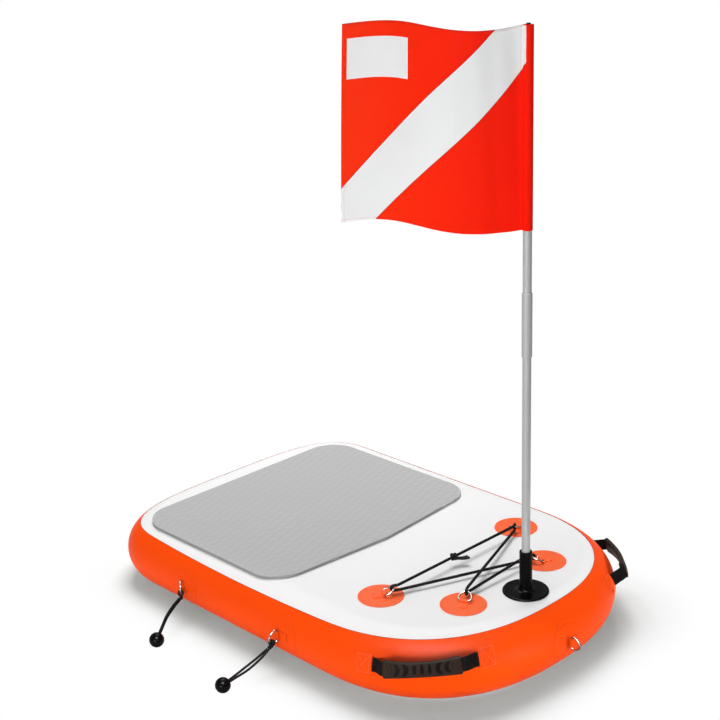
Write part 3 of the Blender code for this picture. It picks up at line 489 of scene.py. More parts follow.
pad_starboard = pad_middle_x - pad_half_width
pad_port = pad_middle_x + pad_half_width
pad_corners = [(pad_starboard, pad_aft), (pad_starboard, pad_fore), (pad_middle_x, pad_fore - pad_point),
               (pad_port, pad_fore), (pad_port, pad_aft)]
pad_radii = [pad_corner_radius, pad_corner_radius, pad_point_radius, pad_corner_radius, pad_corner_radius]
pad_line = rounded_outline(pad_corners, pad_radii, 24)
pad_line = np.concatenate([pad_line, pad_line[:1]])
gone = run_along(pad_line)
pad_line = read_off(pad_line, gone, np.linspace(0, gone[-1], 400, endpoint=False))
pad_middle = np.array([pad_middle_x, (pad_aft + pad_fore) / 2])
pad_inward = unit(pad_middle - pad_line)
panel_edge = read_off(edge[:2].T, edge_run, np.linspace(0, rail_half_length, 1600))


def pad_ring(flat, height):
    """Points at a height over the board: level over the flat panel, and beyond the panel's edge the
    root of the squared radius less the squared distance to that edge."""
    outside = np.abs(flat[:, 0]) > np.interp(flat[:, 1], edge[1], edge[0])
    port = np.stack([np.abs(flat[:, 0]), flat[:, 1]], -1)
    beyond = np.linalg.norm(port[:, None] - panel_edge, axis=2).min(axis=1)
    z = rail_radius + np.sqrt((rail_radius + height) ** 2 - np.where(outside, beyond, 0) ** 2)
    return np.column_stack([flat, z])


def pad_rings(shares, height):
    """Rings of the pad's outline drawn in towards its middle by shares."""
    return [pad_ring(pad_middle + (pad_line - pad_middle) * share, height) for share in shares]


rows = pad_rings((0.0, 0.86, 0.93), pad_foot)
rows += [pad_ring(pad_line, pad_foot), pad_ring(pad_line, pad_top - pad_broken)]
for angle in np.linspace(0, math.pi / 2, 5)[1:]:
    rows.append(pad_ring(pad_line + pad_inward * pad_broken * (1 - math.cos(angle)),
                         pad_top - pad_broken * (1 - math.sin(angle))))
rows += pad_rings((0.985, 0.97, 0.95, 0.93, 0.91, 0.88, 0.6, 0.3, 0.0), pad_top)
# Marks on the pad's cut side, which is painted darker there as shade along its edge.
edge_shade_marks = np.zeros((len(rows), len(pad_line) + 1, 2))
edge_shade_marks[3:7, :, 0] = 1.0


def cloth_map(tree):
    """The two numbers of a piece's own map: metres along and across, or a mark of 0 to 1."""
    along = add_node(tree, "SeparateXYZ", {0: add_node(tree, "UVMap", uv_map="cloth")})
    return along, along.node.outputs["Y"]


# Embossed EVA foam: matt and slightly chalky, with a fine closed-cell grain of 1 mm. Two sets of
# grooves 15.6 mm apart lie 17 degrees either way off the board's width, and waver by 1 mm; the
# grooves are painted a little darker, as painted shade in them, and the cut side is painted darker,
# as painted shade along the pad's edge.
foam, tree, shader = new_finish("eva_foam_embossed_grey")
spot = add_node(tree, "TexCoord", out="Object")
bend = add_node(tree, "TexNoise", {"Vector": spot, "Scale": 40.0, "Detail": 1.0}, out="Color")
shift = add_node(tree, "VectorMath", {0: bend, 1: (0.5, 0.5, 0.5)}, operation="SUBTRACT")
shift = add_node(tree, "VectorMath", {0: shift, "Scale": 0.003}, operation="SCALE")
waver = add_node(tree, "VectorMath", {0: spot, 1: shift}, operation="ADD")
turns = 2 * math.pi / groove_pitch
ridges = []
for way in (-1, 1):
    slant = (way * turns * math.sin(groove_lean), turns * math.cos(groove_lean), 0)
    phase = add_node(tree, "VectorMath", {0: waver, 1: slant}, operation="DOT_PRODUCT")
    wave = add_node(tree, "Math", {0: phase}, operation="SINE")
    ridges.append(add_node(tree, "MapRange", {"Value": wave, "From Min": -0.95, "From Max": -0.35},
                           interpolation_type="SMOOTHSTEP"))
rise = add_node(tree, "Math", {0: ridges[0], 1: ridges[1]}, operation="MINIMUM")
grain = add_node(tree, "TexNoise", {"Vector": spot, "Scale": 700.0, "Detail": 2.0})
cloud = add_node(tree, "TexNoise", {"Vector": spot, "Scale": 6.0, "Detail": 3.0})
tint = add_node(tree, "Mix", {"Factor": cloud, "A": paint("#BABABA"), "B": paint("#B5B5B5")},
                data_type="RGBA")
# The grooves painted a little darker: painted shade.
tint = add_node(tree, "Mix", {"Factor": rise, "A": paint("#B3B3B3"), "B": tint}, data_type="RGBA")
painted_edge_shade, _ = cloth_map(tree)
# The cut side painted darker: painted shade along the pad's edge.
tint = add_node(tree, "Mix", {"Factor": painted_edge_shade, "A": tint, "B": paint("#929292")}, data_type="RGBA")
fine = add_node(tree, "Bump", {"Strength": 0.35, "Distance": 0.0002, "Height": grain})
deep = add_node(tree, "Bump", {"Strength": 0.06, "Distance": groove_depth, "Height": rise, "Normal": fine})
fill(shader, {"Base Color": tint, "Normal": deep, "Roughness": 0.85, "Specular IOR Level": 0.02})
pad = surface("traction_pad_foam", np.array(rows), foam, uv=edge_shade_marks, node="traction_pad")


# Ring patches: round discs of the hull's own cloth, radio-frequency welded on, each with a short tab
# of the same cloth whose eye holds the straight bar of a stainless D-ring.

patch_radius = 0.0385
patch_thickness = 0.0012
patch_gap = 0.0003
rail_disc_foot = -0.0004
rail_tab_foot = -0.0008
weld_radius = 0.0325
tab_width = 0.0150
tab_length = 0.0190
tab_thickness = 0.0009
tab_broken = 0.0006
wire_radius = 0.0016
wire_clearance = 0.0003
ring_width = 0.0232
ring_depth = 0.0185
ring_corner = 0.0024
eye_radius = wire_radius + wire_clearance + tab_thickness
bar_height = 0.0045
deck_bar_shift = 0.0050
deck_ring_tilt = 24
mast_y = bow_tip + 0.030

patch_cloth = coated_cloth("pvc_coated_polyester_patch", "#FF6428", 0.46, 0.05, 0.16)


def placing(place, lying, normal):
    """A placing whose Z is the surface's outward direction and whose X is the way a piece lies."""
    z = Vector(normal).normalized()
    x = Vector(lying)
    x = (x - z * x.dot(z)).normalized()
    matrix = Matrix((x, z.cross(x), z)).transposed().to_4x4()
    matrix.translation = Vector(place)
    return matrix


def put(points, matrix):
    """An array of points carried by a placing."""
    matrix = np.array(matrix)
    return np.asarray(points) @ matrix[:3, :3].T + matrix[:3, 3]


def evenly_round(count):
    """Angles spaced evenly round one full turn."""
    return np.linspace(0, 2 * math.pi, count, endpoint=False)


def disc_rings(drawn):
    """Two places and a height for each point of a thin disc's rings: a flat face with a shallow welded
    groove near its edge, a rounded rim, and its foot."""
    radii = np.concatenate([np.linspace(0, weld_radius - 0.0022, 6),
                            weld_radius + np.linspace(-0.0014, 0.0014, 7),
                            patch_radius - np.array([0.0022, 0.0008, 0.0003, 0, 0, patch_radius])])
    heights = patch_thickness - 0.00035 * np.exp(-((radii - weld_radius) / 0.0008) ** 2)
    heights[-6:-2] = patch_thickness - np.array([0, 0, 0.0001, 0.0004])
    heights[-2:] = drawn
    angle = evenly_round(96)
    return radii[:, None] * np.cos(angle), radii[:, None] * np.sin(angle), heights[:, None] + 0 * angle


def tab_grid(foot):
    """The tab's section, from its tail along the top, round the eye and back under, carried across its
    width with slightly rounded sides."""
    tail = 2 * tab_thickness + patch_thickness
    lean = math.asin((bar_height - tail) / eye_radius)
    turn = np.linspace(math.pi + lean, -math.pi / 2, 26)
    x = np.concatenate([[-tab_length, -tab_length, tab_broken - tab_length], np.linspace(-0.016, -0.006, 6),
                        eye_radius * np.cos(turn), [0]])
    z = np.concatenate([[foot, tail - tab_broken, tail], np.full(6, tail),
                        bar_height + eye_radius * np.sin(turn), [foot]])
    middle_x, middle_z = -0.006, tail / 2
    rows = [np.stack([middle_x + (x - middle_x) * draw, 0 * x + tab_width / 2 * share,
                      middle_z + (z - middle_z) * draw], -1)
            for share, draw in ((-1, 0.96), (-0.98, 1.0), (0.98, 1.0), (1, 0.96))]
    return np.array(rows)


def plain_finish(name, code, roughness, metallic=0.0, grain=900.0, depth=0.00005, strength=0.3, vary=0.06,
                 specular=0.5):
    """A finish with a fine even grain: its colour and gloss drift a little, as handling leaves them."""
    material, tree, shader = new_finish(name)
    spot = add_node(tree, "TexCoord", out="Object")
    speck = add_node(tree, "TexNoise", {"Vector": spot, "Scale": grain, "Detail": 2.0})
    cloud = add_node(tree, "TexNoise", {"Vector": spot, "Scale": 40.0, "Detail": 3.0})
    worn = toned(paint(code), 1 + 3 * vary, 0.004)
    tint = add_node(tree, "Mix", {"Factor": cloud, "A": paint(code), "B": worn}, data_type="RGBA")
    rough = add_node(tree, "MapRange", {"Value": cloud, "To Min": roughness * (1 - vary),
                                        "To Max": roughness * (1 + 2 * vary)})
    bump = add_node(tree, "Bump", {"Strength": strength, "Distance": depth, "Height": speck})
    fill(shader, {"Base Color": tint, "Roughness": rough, "Normal": bump, "Metallic": metallic,
                  "Specular IOR Level": specular})
    return material


# Drawn stainless wire, tumbled bright: a sharp, slightly uneven mirror with faint drawing marks.
stainless = plain_finish("stainless_steel_drawn_wire", "#A39B94", 0.22, 1.0, grain=1500.0, strength=0.15)


def sweep(route, radius, sides=14, closed=False):
    """A round tube's points along a route, and its metres along and turns round at each point.

    Each ring of points is a circle square to the route, turned no more than the route itself turns."""
    route = np.asarray(route, float)
    ahead = unit(np.roll(route, -1, axis=0) - np.roll(route, 1, axis=0) if closed
                 else np.gradient(route, axis=0))
    across = np.cross(ahead[0], (0.13, 0.21, 0.97))
    frames = []
    for way in ahead:
        across = unit(across - way * (across @ way))
        frames.append(across)
    frames = np.array(frames)
    if closed:
        first, last = frames[0], frames[-1] - ahead[0] * (frames[-1] @ ahead[0])
        slip = math.atan2(np.cross(last, first) @ ahead[0], last @ first)
        slip = (slip * np.arange(len(route)) / len(route))[:, None]
        frames = frames * np.cos(slip) + np.cross(ahead, frames) * np.sin(slip)
    other = np.cross(ahead, frames)
    angle = evenly_round(sides)[None, :, None]
    radius = np.broadcast_to(radius, len(route))[:, None, None]
    grid = route[:, None] + radius * (frames[:, None] * np.cos(angle) + other[:, None] * np.sin(angle))
    gone = run_along(route)
    if closed:
        grid = np.concatenate([grid, grid[:1]])
        gone = np.append(gone, gone[-1] + np.linalg.norm(route[-1] - route[0]))
    return grid, np.stack(np.broadcast_arrays(gone[:, None], np.linspace(0, 1, sides + 1)[None]), -1)


def ring_line():
    """The D-ring's wire: a straight bar, tight corners, and a bow that is half an ellipse."""
    half_bar = ring_width / 2
    turn = np.radians(np.linspace(12, 168, 40))
    bow = np.stack([ring_depth * np.sin(turn), half_bar * np.cos(turn), 0 * turn], -1)
    bar = np.linspace(ring_corner - half_bar, half_bar - ring_corner, 11)
    line = np.concatenate([np.stack([0 * bar, bar, 0 * bar], -1), bow])
    for _ in range(2):
        line = 0.5 * line + 0.25 * (np.roll(line, 1, axis=0) + np.roll(line, -1, axis=0))
    return line


ring_grid = sweep(ring_line(), wire_radius, closed=True)[0]


def add_patch(kind, name, disc, at, foot, swing, cloth, ring_body):
    """A welded disc, the tab on it and the ring that hangs in the tab's eye, whose placing it gives."""
    surface(f"{kind}_patch_disc_{name}", disc, cloth, node=f"{kind}_patch_{name}")
    surface(f"{kind}_patch_tab_{name}", put(tab_grid(foot), at), cloth, ends=True)
    ring_at = at @ Matrix.Translation((0, 0, bar_height)) @ Matrix.Rotation(-math.radians(swing), 4, "Y")
    surface(f"{kind}_ring_wire_{name}", put(ring_grid, ring_at), stainless, ring_body,
            node=f"{kind}_ring_{name}")
    return ring_at


deck_sets = {
    "starboard_aft": (-1, 0.1727, 0.1644, 34), "starboard_fore": (-1, 0.1033, 0.0451, -27),
    "port_aft": (1, 0.1727, 0.1644, 34), "port_fore": (1, 0.1033, 0.0451, -27),
}
deck_rings = {}
for name, (side, across, behind, turn) in deck_sets.items():
    turn = math.radians(turn)
    at = placing((side * across, mast_y + behind, board_height + patch_gap),
                 (-side * math.cos(turn), -math.sin(turn), 0), (0, 0, 1))
    disc = put(np.stack(disc_rings(0.0), -1), at)
    deck_rings[name] = add_patch("deck", name, disc, at @ Matrix.Translation((deck_bar_shift, 0, 0)),
                                 patch_thickness / 2, deck_ring_tilt, patch_cloth, "board")

rail_sets = {
    "starboard_aft": (-1, 0.8139, 144), "starboard_fore": (-1, 0.5540, 90),
    "port_aft": (1, 0.8139, 90), "port_fore": (1, 0.5540, 90), "bow": (-1, 0.0, 90),
}
rail_rings = {}
for name, (side, distance, swing) in rail_sets.items():
    x, y, z = disc_rings(rail_disc_foot)
    disc = rail_frame(distance + x, math.pi / 2 - y / rail_radius, patch_gap + z, side)[0]
    place, normal, aft, _ = rail_frame(distance, math.pi / 2, patch_gap, side)
    rail_rings[name] = add_patch("rail", name, disc, placing(place, aft, normal), rail_tab_foot, swing,
                                 orange_cloth, "ring_" + name)


# Ball ties: 4 mm shock cord doubled through a starboard rail ring, drawn up in a knot, its two ends
# held in a moulded ball of black nylon. The cord is latex strands in a braided polyester jacket.

tie_radius = 0.0020
hitch_radius = tie_radius * 0.92
hitch_reach = wire_radius + wire_clearance
hitch_half_pitch = 0.0019
hitch_angle = math.radians(45)
tie_knot_size = 0.00145
tie_knot_reach = 0.0050
ball_radius = 0.0130


def braided_cord(name, code, pick, strands):
    """Braided jacket: two sets of yarns wind round in opposite ways and cross every pick, so that it
    is dull with a fine diamond relief; the yarn count is drawn coarse so that it shows. The yarns'
    crests are painted lighter than the hollows between them: painted highlight and shade."""
    material, tree, shader = new_finish(name)
    along, across = cloth_map(tree)
    along = add_node(tree, "Math", {0: along, 1: 2 * math.pi / pick}, operation="MULTIPLY")
    across = add_node(tree, "Math", {0: across, 1: 2 * math.pi * strands}, operation="MULTIPLY")
    yarns = []
    for way in ("ADD", "SUBTRACT"):
        lean = add_node(tree, "Math", {0: along, 1: across}, operation=way)
        yarns.append(add_node(tree, "Math", {0: lean}, operation="SINE"))
    high = add_node(tree, "Math", {0: yarns[0], 1: yarns[1]}, operation="MAXIMUM")
    rise = add_node(tree, "MapRange", {"Value": high, "From Min": -0.4})
    # The yarns' crests painted lighter than their hollows: painted highlight and shade.
    tint = add_node(tree, "Mix", {"Factor": rise, "A": paint(code), "B": toned(paint(code), 1.6, 0.002)},
                    data_type="RGBA")
    bump = add_node(tree, "Bump", {"Strength": 0.6, "Distance": 0.0003, "Height": rise})
    fill(shader, {"Base Color": tint, "Normal": bump, "Roughness": 0.66, "Specular IOR Level": 0.10})
    return material


shock_jacket = braided_cord("shock_cord_braided_polyester_black", "#070708", 0.0024, 4)
ball_nylon = plain_finish("nylon_ball_moulded_black", "#040404", 0.20, grain=600.0, vary=0.02, specular=0.06)

# Each tie: points of its middle line from the ring's bar, how far its strands stand apart there, the
# direction in which they do, and the ball's centre.
tie_sets = {
    "starboard_fore": (((-0.0214, 0.0004, -0.0168), (-0.0420, 0.0016, -0.0262), (-0.0660, 0.0050, -0.0360),
                        (-0.0870, 0.0078, -0.0420), (-0.1069, 0.0084, -0.0455)),
                       (0.0044, 0.0096, 0.0120, 0.0080, 0.0044), (0.10, 0.97, -0.20),
                       (-0.1131, 0.0090, -0.0467)),
    "starboard_aft": (((-0.0150, -0.0162, -0.0150), (-0.0355, -0.0240, -0.0190), (-0.0585, -0.0338, -0.0262),
                       (-0.0773, -0.0440, -0.0355), (-0.0922, -0.0515, -0.0439)),
                      (0.0044, 0.0054, 0.0054, 0.0050, 0.0044), (-0.28, -0.22, 0.93),
                      (-0.0972, -0.0540, -0.0467)),
}


def through(points, steps):
    """A Catmull-Rom curve through the points: each stretch is the cubic whose slope at a point is half
    the step from the point before to the point after."""
    chain = np.asarray(points, float)
    chain = np.concatenate([[2 * chain[0] - chain[1]], chain, [2 * chain[-1] - chain[-2]]])
    before, start, end, after = (chain[index:len(chain) - 3 + index, None] for index in range(4))
    t = np.linspace(0, 1, steps, endpoint=False)[None, :, None]
    route = 0.5 * (2 * start + (end - before) * t + (2 * before - 5 * start + 4 * end - after) * t ** 2
                   + (3 * start - before - 3 * end + after) * t ** 3)
    return np.concatenate([route.reshape(-1, 3), chain[-2:-1]])


def knot_route(size, rise=1.1):
    """A trefoil drawn up tight: its turns cross each other three times round a small open middle, and
    rise and dip three times by the rise."""
    t = evenly_round(120)
    return size * np.stack([np.sin(t) + 1.35 * np.sin(2 * t), np.cos(t) - 1.35 * np.cos(2 * t),
                            -rise * np.sin(3 * t)], -1)


def merged(name, tubes, material, body, node):
    """Several closed tubes as one piece of black cord, one after another in one mesh."""
    quads = [grid_faces(*grid.shape[:2], True)[:, ::-1] for grid, _ in tubes]
    bases = np.cumsum([0] + [grid.shape[0] * grid.shape[1] for grid, _ in tubes])
    mesh = shell(name, np.concatenate([grid.reshape(-1, 3) for grid, _ in tubes]),
                 np.concatenate([faces + base for faces, base in zip(quads, bases)]))
    add_map(mesh, [(faces, grid.shape[1], uv) for faces, (grid, uv) in zip(quads, tubes)])
    seal(mesh, holes=True)
    return finish_piece(name, mesh, material, body, 60, node)


def revolved(profile, count, matrix):
    """A profile of radius and height turned about Z, carried to its place."""
    profile = np.asarray(profile, float)
    angle = evenly_round(count)
    grid = np.stack([profile[:, :1] * np.cos(angle), profile[:, :1] * np.sin(angle),
                     profile[:, 1:] + 0 * angle], -1)
    return put(grid, matrix)


for name, (middle, spread, sideways, ball) in tie_sets.items():
    body = "ring_" + name
    ring_at = rail_rings[name]
    bar = np.array(ring_at.translation)
    sideways = unit(np.array(sideways))
    middle = bar + np.array(middle)
    half_spread = sideways * np.array(spread)[:, None] / 2
    ball_at = bar + np.array(ball)

    on_wire = Vector((ring_depth * math.sin(hitch_angle), ring_width / 2 * math.cos(hitch_angle), 0))
    run = Vector((ring_depth * math.cos(hitch_angle), -ring_width / 2 * math.sin(hitch_angle), 0))
    outward = Vector((-run.y, run.x, 0)).normalized()
    knot_at = ring_at @ Matrix.Translation(on_wire + outward * (hitch_reach + tie_knot_reach))
    hitch_at = ring_at @ placing(on_wire, outward, run)
    circle = evenly_round(40)
    circle = np.stack([np.cos(circle), np.sin(circle), 0 * circle], -1) * (hitch_reach + tie_radius)
    hitch = [sweep(put(knot_route(tie_knot_size), knot_at), hitch_radius, 12, closed=True)]
    for lift in (hitch_half_pitch, -hitch_half_pitch):
        twin = put(circle, hitch_at @ Matrix.Translation((0, 0, lift)))
        hitch.append(sweep(twin, hitch_radius, 12, closed=True))
    merged("tie_hitch_" + name, hitch, shock_jacket, body, "tie_knot_" + name)

    mouth = placing(ball_at, sideways, middle[-1] - ball_at)
    lip = np.radians(np.linspace(24, 178.5, 60))
    shell_radius = ball_radius * (1 - 0.012 * np.exp(-((lip - math.pi / 2) / 0.022) ** 2))
    outer = np.stack([shell_radius * np.sin(lip), shell_radius * np.cos(lip)], -1)
    pocket = np.array([(0, 0.0066), (0.0046, 0.0066), (0.0050, 0.0072), (0.0050, 0.0114)])
    profile = np.concatenate([pocket, outer, [(0, -ball_radius)]])
    held = surface("tie_ball_moulding_" + name, revolved(profile, 64, mouth), ball_nylon,
                   body, node="tie_ball_" + name)
    for way, letter in ((-1, "a"), (1, "b")):
        route = through(middle + half_spread * way, 9)
        grid, uv = sweep(route, tie_radius)
        strand = surface(f"tie_cord_{letter}_{name}", grid, shock_jacket, body, ends=True,
                         uv=uv, node=f"tie_strand_{letter}_{name}")


# Deck bungee: one 5 mm shock cord laced through the four deck rings under light tension, its ends
# tied together in one overhand knot that leaves two short tails.

bungee_radius = 0.0025
bungee_clearance = 0.0004
bungee_lead = 0.0070
bungee_step = 0.0013
knot_place = 0.46
knot_reach = 0.0045
knot_size = 0.0019
knot_rise = 2.0
knot_cord_radius = 0.0027
knot_drop = 0.0024
tail_drop = 0.0030


def ring_turn(name):
    """Half a turn of the cord round a ring's bow: a half circle whose radius is the wire, a small gap
    and the cord, from above the wire through the ring to below it."""
    ring_at = deck_rings[name]
    wire = np.array(ring_at @ Vector((ring_depth, 0, 0)))
    ahead = unit(np.array([ring_at.col[0].x, ring_at.col[0].y, 0]))
    turn = np.linspace(0, math.pi, 13)[:, None]
    bend = wire_radius + bungee_clearance + bungee_radius
    arc = wire + (np.array([0, 0, 1]) * np.cos(turn) - ahead * np.sin(turn)) * bend
    lead = ahead * bungee_lead
    return np.concatenate([arc[:1] + lead, arc, arc[-1:] + lead])


aft_turn, fore_turn, far_aft_turn, far_fore_turn = (ring_turn(name) for name in deck_rings)
knot_middle = aft_turn[0] + (far_aft_turn[0] - aft_turn[0]) * knot_place
knot_way = unit(aft_turn[0] - far_aft_turn[0]) * knot_reach
laced = np.concatenate([[knot_middle + knot_way], aft_turn, far_fore_turn[::-1], fore_turn[::-1],
                        far_aft_turn[::-1], [knot_middle - knot_way]])

# The lacing is cut into even short steps, and each point moved towards its neighbours' middle.
gone = run_along(laced)
laced = read_off(laced, gone, np.linspace(0, gone[-1], int(gone[-1] / bungee_step) + 1))
for _ in range(2):
    laced[1:-1] = 0.5 * laced[1:-1] + 0.25 * (laced[:-2] + laced[2:])
lacing_jacket = braided_cord("deck_cord_braided_polyester_black", "#060607", 0.0030, 5)
grid, uv = sweep(laced, bungee_radius)
surface("deck_bungee_cord", grid, lacing_jacket, ends=True, uv=uv, node="deck_bungee")
knot_at = placing(knot_middle, knot_way, (0.2, 0.3, 1))
tubes = [sweep(put(knot_route(knot_size, knot_rise), knot_at), knot_cord_radius, closed=True)]
for heading, reach, curl in ((-47, 0.0275, 0.0022), (-29, 0.0250, -0.0012)):
    along = np.linspace(0, 1, 24)[:, None]
    way = np.array([math.cos(math.radians(heading)), math.sin(math.radians(heading)), 0])
    aside = np.array([-way[1], way[0], 0])
    drop = knot_drop + tail_drop * along ** 0.8 - tail_drop * along ** 4
    tail = knot_middle - np.array([0, 0, 1]) * drop + way * reach * along + aside * curl * along ** 2
    tubes.append(sweep(tail, bungee_radius * (1 - 0.08 * along[:, 0])))
merged("deck_bungee_knot", tubes, lacing_jacket, "board", "bungee_knot")


# Carry handles: polypropylene webbing 22.5 mm wide through a moulded rubber grip, its ends sewn into
# two reinforced pads of hull cloth that are welded on the rail.

handle_from_bow = 0.267
handle_angle = math.radians(70)
handle_slant = math.radians(69)
handle_span = 0.167
handle_ramp = 0.024
handle_lift = 0.0175
handle_foot = 0.0025
strap_width = 0.0225
strap_thickness = 0.0020
strap_tucked = 0.012
grip_length = 0.1153
grip_middle = 0.0031
grip_reach = grip_middle + grip_length / 2
grip_half_waist = 0.0122
grip_flare = 0.0026
grip_half_depth = 0.0045
pattern_depth = 0.0013
anchor_from_middle = 0.1002
anchor_half_length = 0.0150
anchor_half_width = 0.0170
anchor_cloth = 0.0016
anchor_dome = 0.0032
anchor_foot = -0.0004
anchor_seam_reach = (0.0116, 0.0142)
anchor_seam_shift = 0.0018
stitch_width = 0.0005
strap_end = anchor_from_middle - anchor_half_length + strap_tucked


def smooth(share):
    """A smoothstep: a rise from 0 to 1 that starts and ends level."""
    return share * share * (3 - 2 * share)


def boxed(wave, power):
    """A sine or cosine to a power with its sign kept, which makes a circle squarer."""
    return np.sign(wave) * np.abs(wave) ** power


def handle_path(along, side):
    """The strap's middle line with its outward and up directions: it rises over the rail by a smoothstep
    from each foot, and hangs lower towards the stern."""
    rise = handle_foot + handle_lift * smooth(np.clip((handle_span / 2 - np.abs(along)) / handle_ramp, 0, 1))
    place, normal, _, up = rail_frame(handle_from_bow + along, handle_angle + handle_slant * along, rise,
                                      side)
    return place, normal, up


def handle_grid(side, along, across, high):
    """Points set square to the strap's path: across the strap, and high over it, cupped like the rail
    near the feet. along is a column, across and high are rows or full grids."""
    step = 0.0005
    centre, normal, up = handle_path(along, side)
    ahead = unit(handle_path(along + step, side)[0] - handle_path(along - step, side)[0])
    out = unit(np.cross(ahead, up))
    out *= np.sign((out * normal).sum(axis=-1, keepdims=True))
    up = up - ahead * (ahead * up).sum(axis=-1, keepdims=True)
    cup = np.clip((np.abs(along) - grip_reach) / (handle_span / 2 - grip_reach), 0, 1)
    high = high - (cup / (2 * (rail_radius + handle_foot)))[:, None] * across ** 2
    return centre[:, None] + up[:, None] * across[..., None] + out[:, None] * high[..., None]


def plain_weave(tree, along, across, weft, warp):
    """A plain weave: the product of two sines, one for each set of threads, at their spacings."""
    waves = []
    for run, spacing in ((along, weft), (across, warp)):
        turns = add_node(tree, "Math", {0: run, 1: 2 * math.pi / spacing}, operation="MULTIPLY")
        waves.append(add_node(tree, "Math", {0: turns}, operation="SINE"))
    return add_node(tree, "Math", {0: waves[0], 1: waves[1]}, operation="MULTIPLY")


# Woven polypropylene webbing: dull, dark brown-black, ribbed across every 1.6 mm by its weft; the
# ribs are painted lighter than the hollows between them: painted highlight and shade.
webbing, tree, shader = new_finish("polypropylene_webbing_woven_black")
thread = plain_weave(tree, *cloth_map(tree), 0.0016, 0.0022)
rise = add_node(tree, "MapRange", {"Value": thread, "From Min": -1.0})
# The ribs painted lighter than their hollows: painted highlight and shade.
tint = add_node(tree, "Mix", {"Factor": rise, "A": paint("#060505"), "B": paint("#110D0C")}, data_type="RGBA")
bump = add_node(tree, "Bump", {"Strength": 0.6, "Distance": 0.0003, "Height": thread})
fill(shader, {"Base Color": tint, "Normal": bump, "Roughness": 0.7, "Specular IOR Level": 0.08})

# Moulded thermoplastic rubber: satin with a fine sparked texture of 0.8 mm, dark brown, and painted
# almost black in the recesses of its moulded pattern: painted shade.
grip_rubber = plain_finish("thermoplastic_rubber_moulded_brown", "#2B1D16", 0.50, grain=1200.0, depth=0.0001,
                           strength=0.4, vary=0.05, specular=0.06)
tree = grip_rubber.node_tree
shader = tree.nodes["Principled BSDF"]
recess_shade_mask, _ = cloth_map(tree)
brown = shader.inputs["Base Color"].links[0].from_socket
# The recesses painted almost black: painted shade.
painted_recess_shade = add_node(tree, "Mix", {"Factor": recess_shade_mask, "A": brown, "B": paint("#060303")}, data_type="RGBA")
fill(shader, {"Base Color": painted_recess_shade})
pad_thread = plain_finish("polyester_thread_pale_orange", "#FF9468", 0.6, grain=2500.0)

strap_run = np.concatenate([np.linspace(-strap_end, -0.055, 34), np.linspace(-0.051, 0.051, 21),
                            np.linspace(0.055, strap_end, 34)])
turn = evenly_round(40)
strap_across = strap_width / 2 * boxed(np.cos(turn), 0.45)
strap_high = strap_thickness / 2 * boxed(np.sin(turn), 0.6)

share = np.linspace(-1, 1, 241)
grip_run = grip_middle + grip_length / 2 * share
share = np.abs(share)[:, None]
turn = evenly_round(132)
end_round = np.sqrt(np.clip(1 - (np.clip(share - 0.965, 0, 1) / 0.035) ** 2, 0, 1)) * 0.28 + 0.72
grip_across = (grip_half_waist + grip_flare * share ** 2) * boxed(np.cos(turn), 0.42) * end_round
grip_high = grip_half_depth * boxed(np.sin(turn), 0.55) * end_round


def moulded_in(along, across):
    """Share of the depth of the pattern moulded into the grip's face: three tall ovals, and crescents
    that lie between two arcs of about 10 mm radius and bulge towards the grip's middle."""
    depth = np.zeros(np.broadcast(along, across).shape)
    for middle in (-0.0110, 0.0, 0.0110):
        oval = np.hypot((along - middle) / 0.0025, across / 0.0078)
        depth = np.maximum(depth, np.clip((1.08 - oval) / 0.22, 0, 1))
    for middle, wide, deep in ((0.0225, 0.0064, 1.0), (0.0352, 0.0058, 0.9), (0.0435, 0.0020, 0.45),
                               (0.0492, 0.0016, 0.35)):
        for way in (-1, 1):
            outer = np.hypot(way * along - (middle - wide / 2 + 0.0096), across)
            inner = np.hypot(way * along - (middle + wide / 2 + 0.0112), across)
            inside = np.minimum(np.clip((0.0098 - outer) / 0.0006, 0, 1),
                                np.clip((inner - 0.0110) / 0.0006, 0, 1))
            facing = np.clip(((middle + 0.0066) - way * along) / 0.0008, 0, 1)
            depth = np.maximum(depth, deep * inside * facing * (np.abs(across) < 0.0092))
    return depth


face = np.clip((np.sin(turn) - 0.25) / 0.1, 0, 1)[None]
sunken = moulded_in(grip_run[:, None] - grip_middle, grip_across) * face
grip_high = grip_high - pattern_depth * sunken
grip_marks = np.concatenate([sunken, sunken[:, :1]], axis=1)[..., None] * (1, 0)
strap_marks = np.stack(np.broadcast_arrays((strap_run + 0.2)[:, None],
                                           np.append(strap_across, strap_across[0])[None] + 0.05), -1)
anchor_x, anchor_y = np.meshgrid(np.linspace(-1, 1, 49), np.linspace(-1, 1, 53), indexing="ij")
rim = np.sqrt(np.clip(1 - np.maximum(np.abs(anchor_x), np.abs(anchor_y)) ** 20, 0, 1))
pad_x = anchor_half_length * anchor_x * (1 - 0.035 * anchor_y ** 8)
pad_y = anchor_half_width * anchor_y * (1 - 0.030 * anchor_x ** 8)
anchor_seams = (((-1, -1), (1, -1), (1, 1), (-1, 1), (-1, -1)), ((-1, -1), (1, 1)), ((-1, 1), (1, -1)))


def pad_rise(inward, aside):
    """Height of an anchor pad: 1.6 mm of cloth, with a dome of 3.2 mm more over the strap's end that
    fades out by smoothsteps beside it and behind it."""
    beside = np.clip((0.0158 - np.abs(aside)) / 0.0036, 0, 1)
    behind = np.clip((inward + 0.0105) / 0.0080, 0, 1)
    return anchor_cloth + anchor_dome * smooth(beside) * smooth(behind)


def on_pad(side, end, x, y, height):
    """Points on the rail under an anchor pad, whose long axis lies along the strap."""
    lean = handle_angle + handle_slant * (end * anchor_from_middle + x)
    return rail_frame(handle_from_bow + end * anchor_from_middle + x, lean - y / rail_radius, height, side)


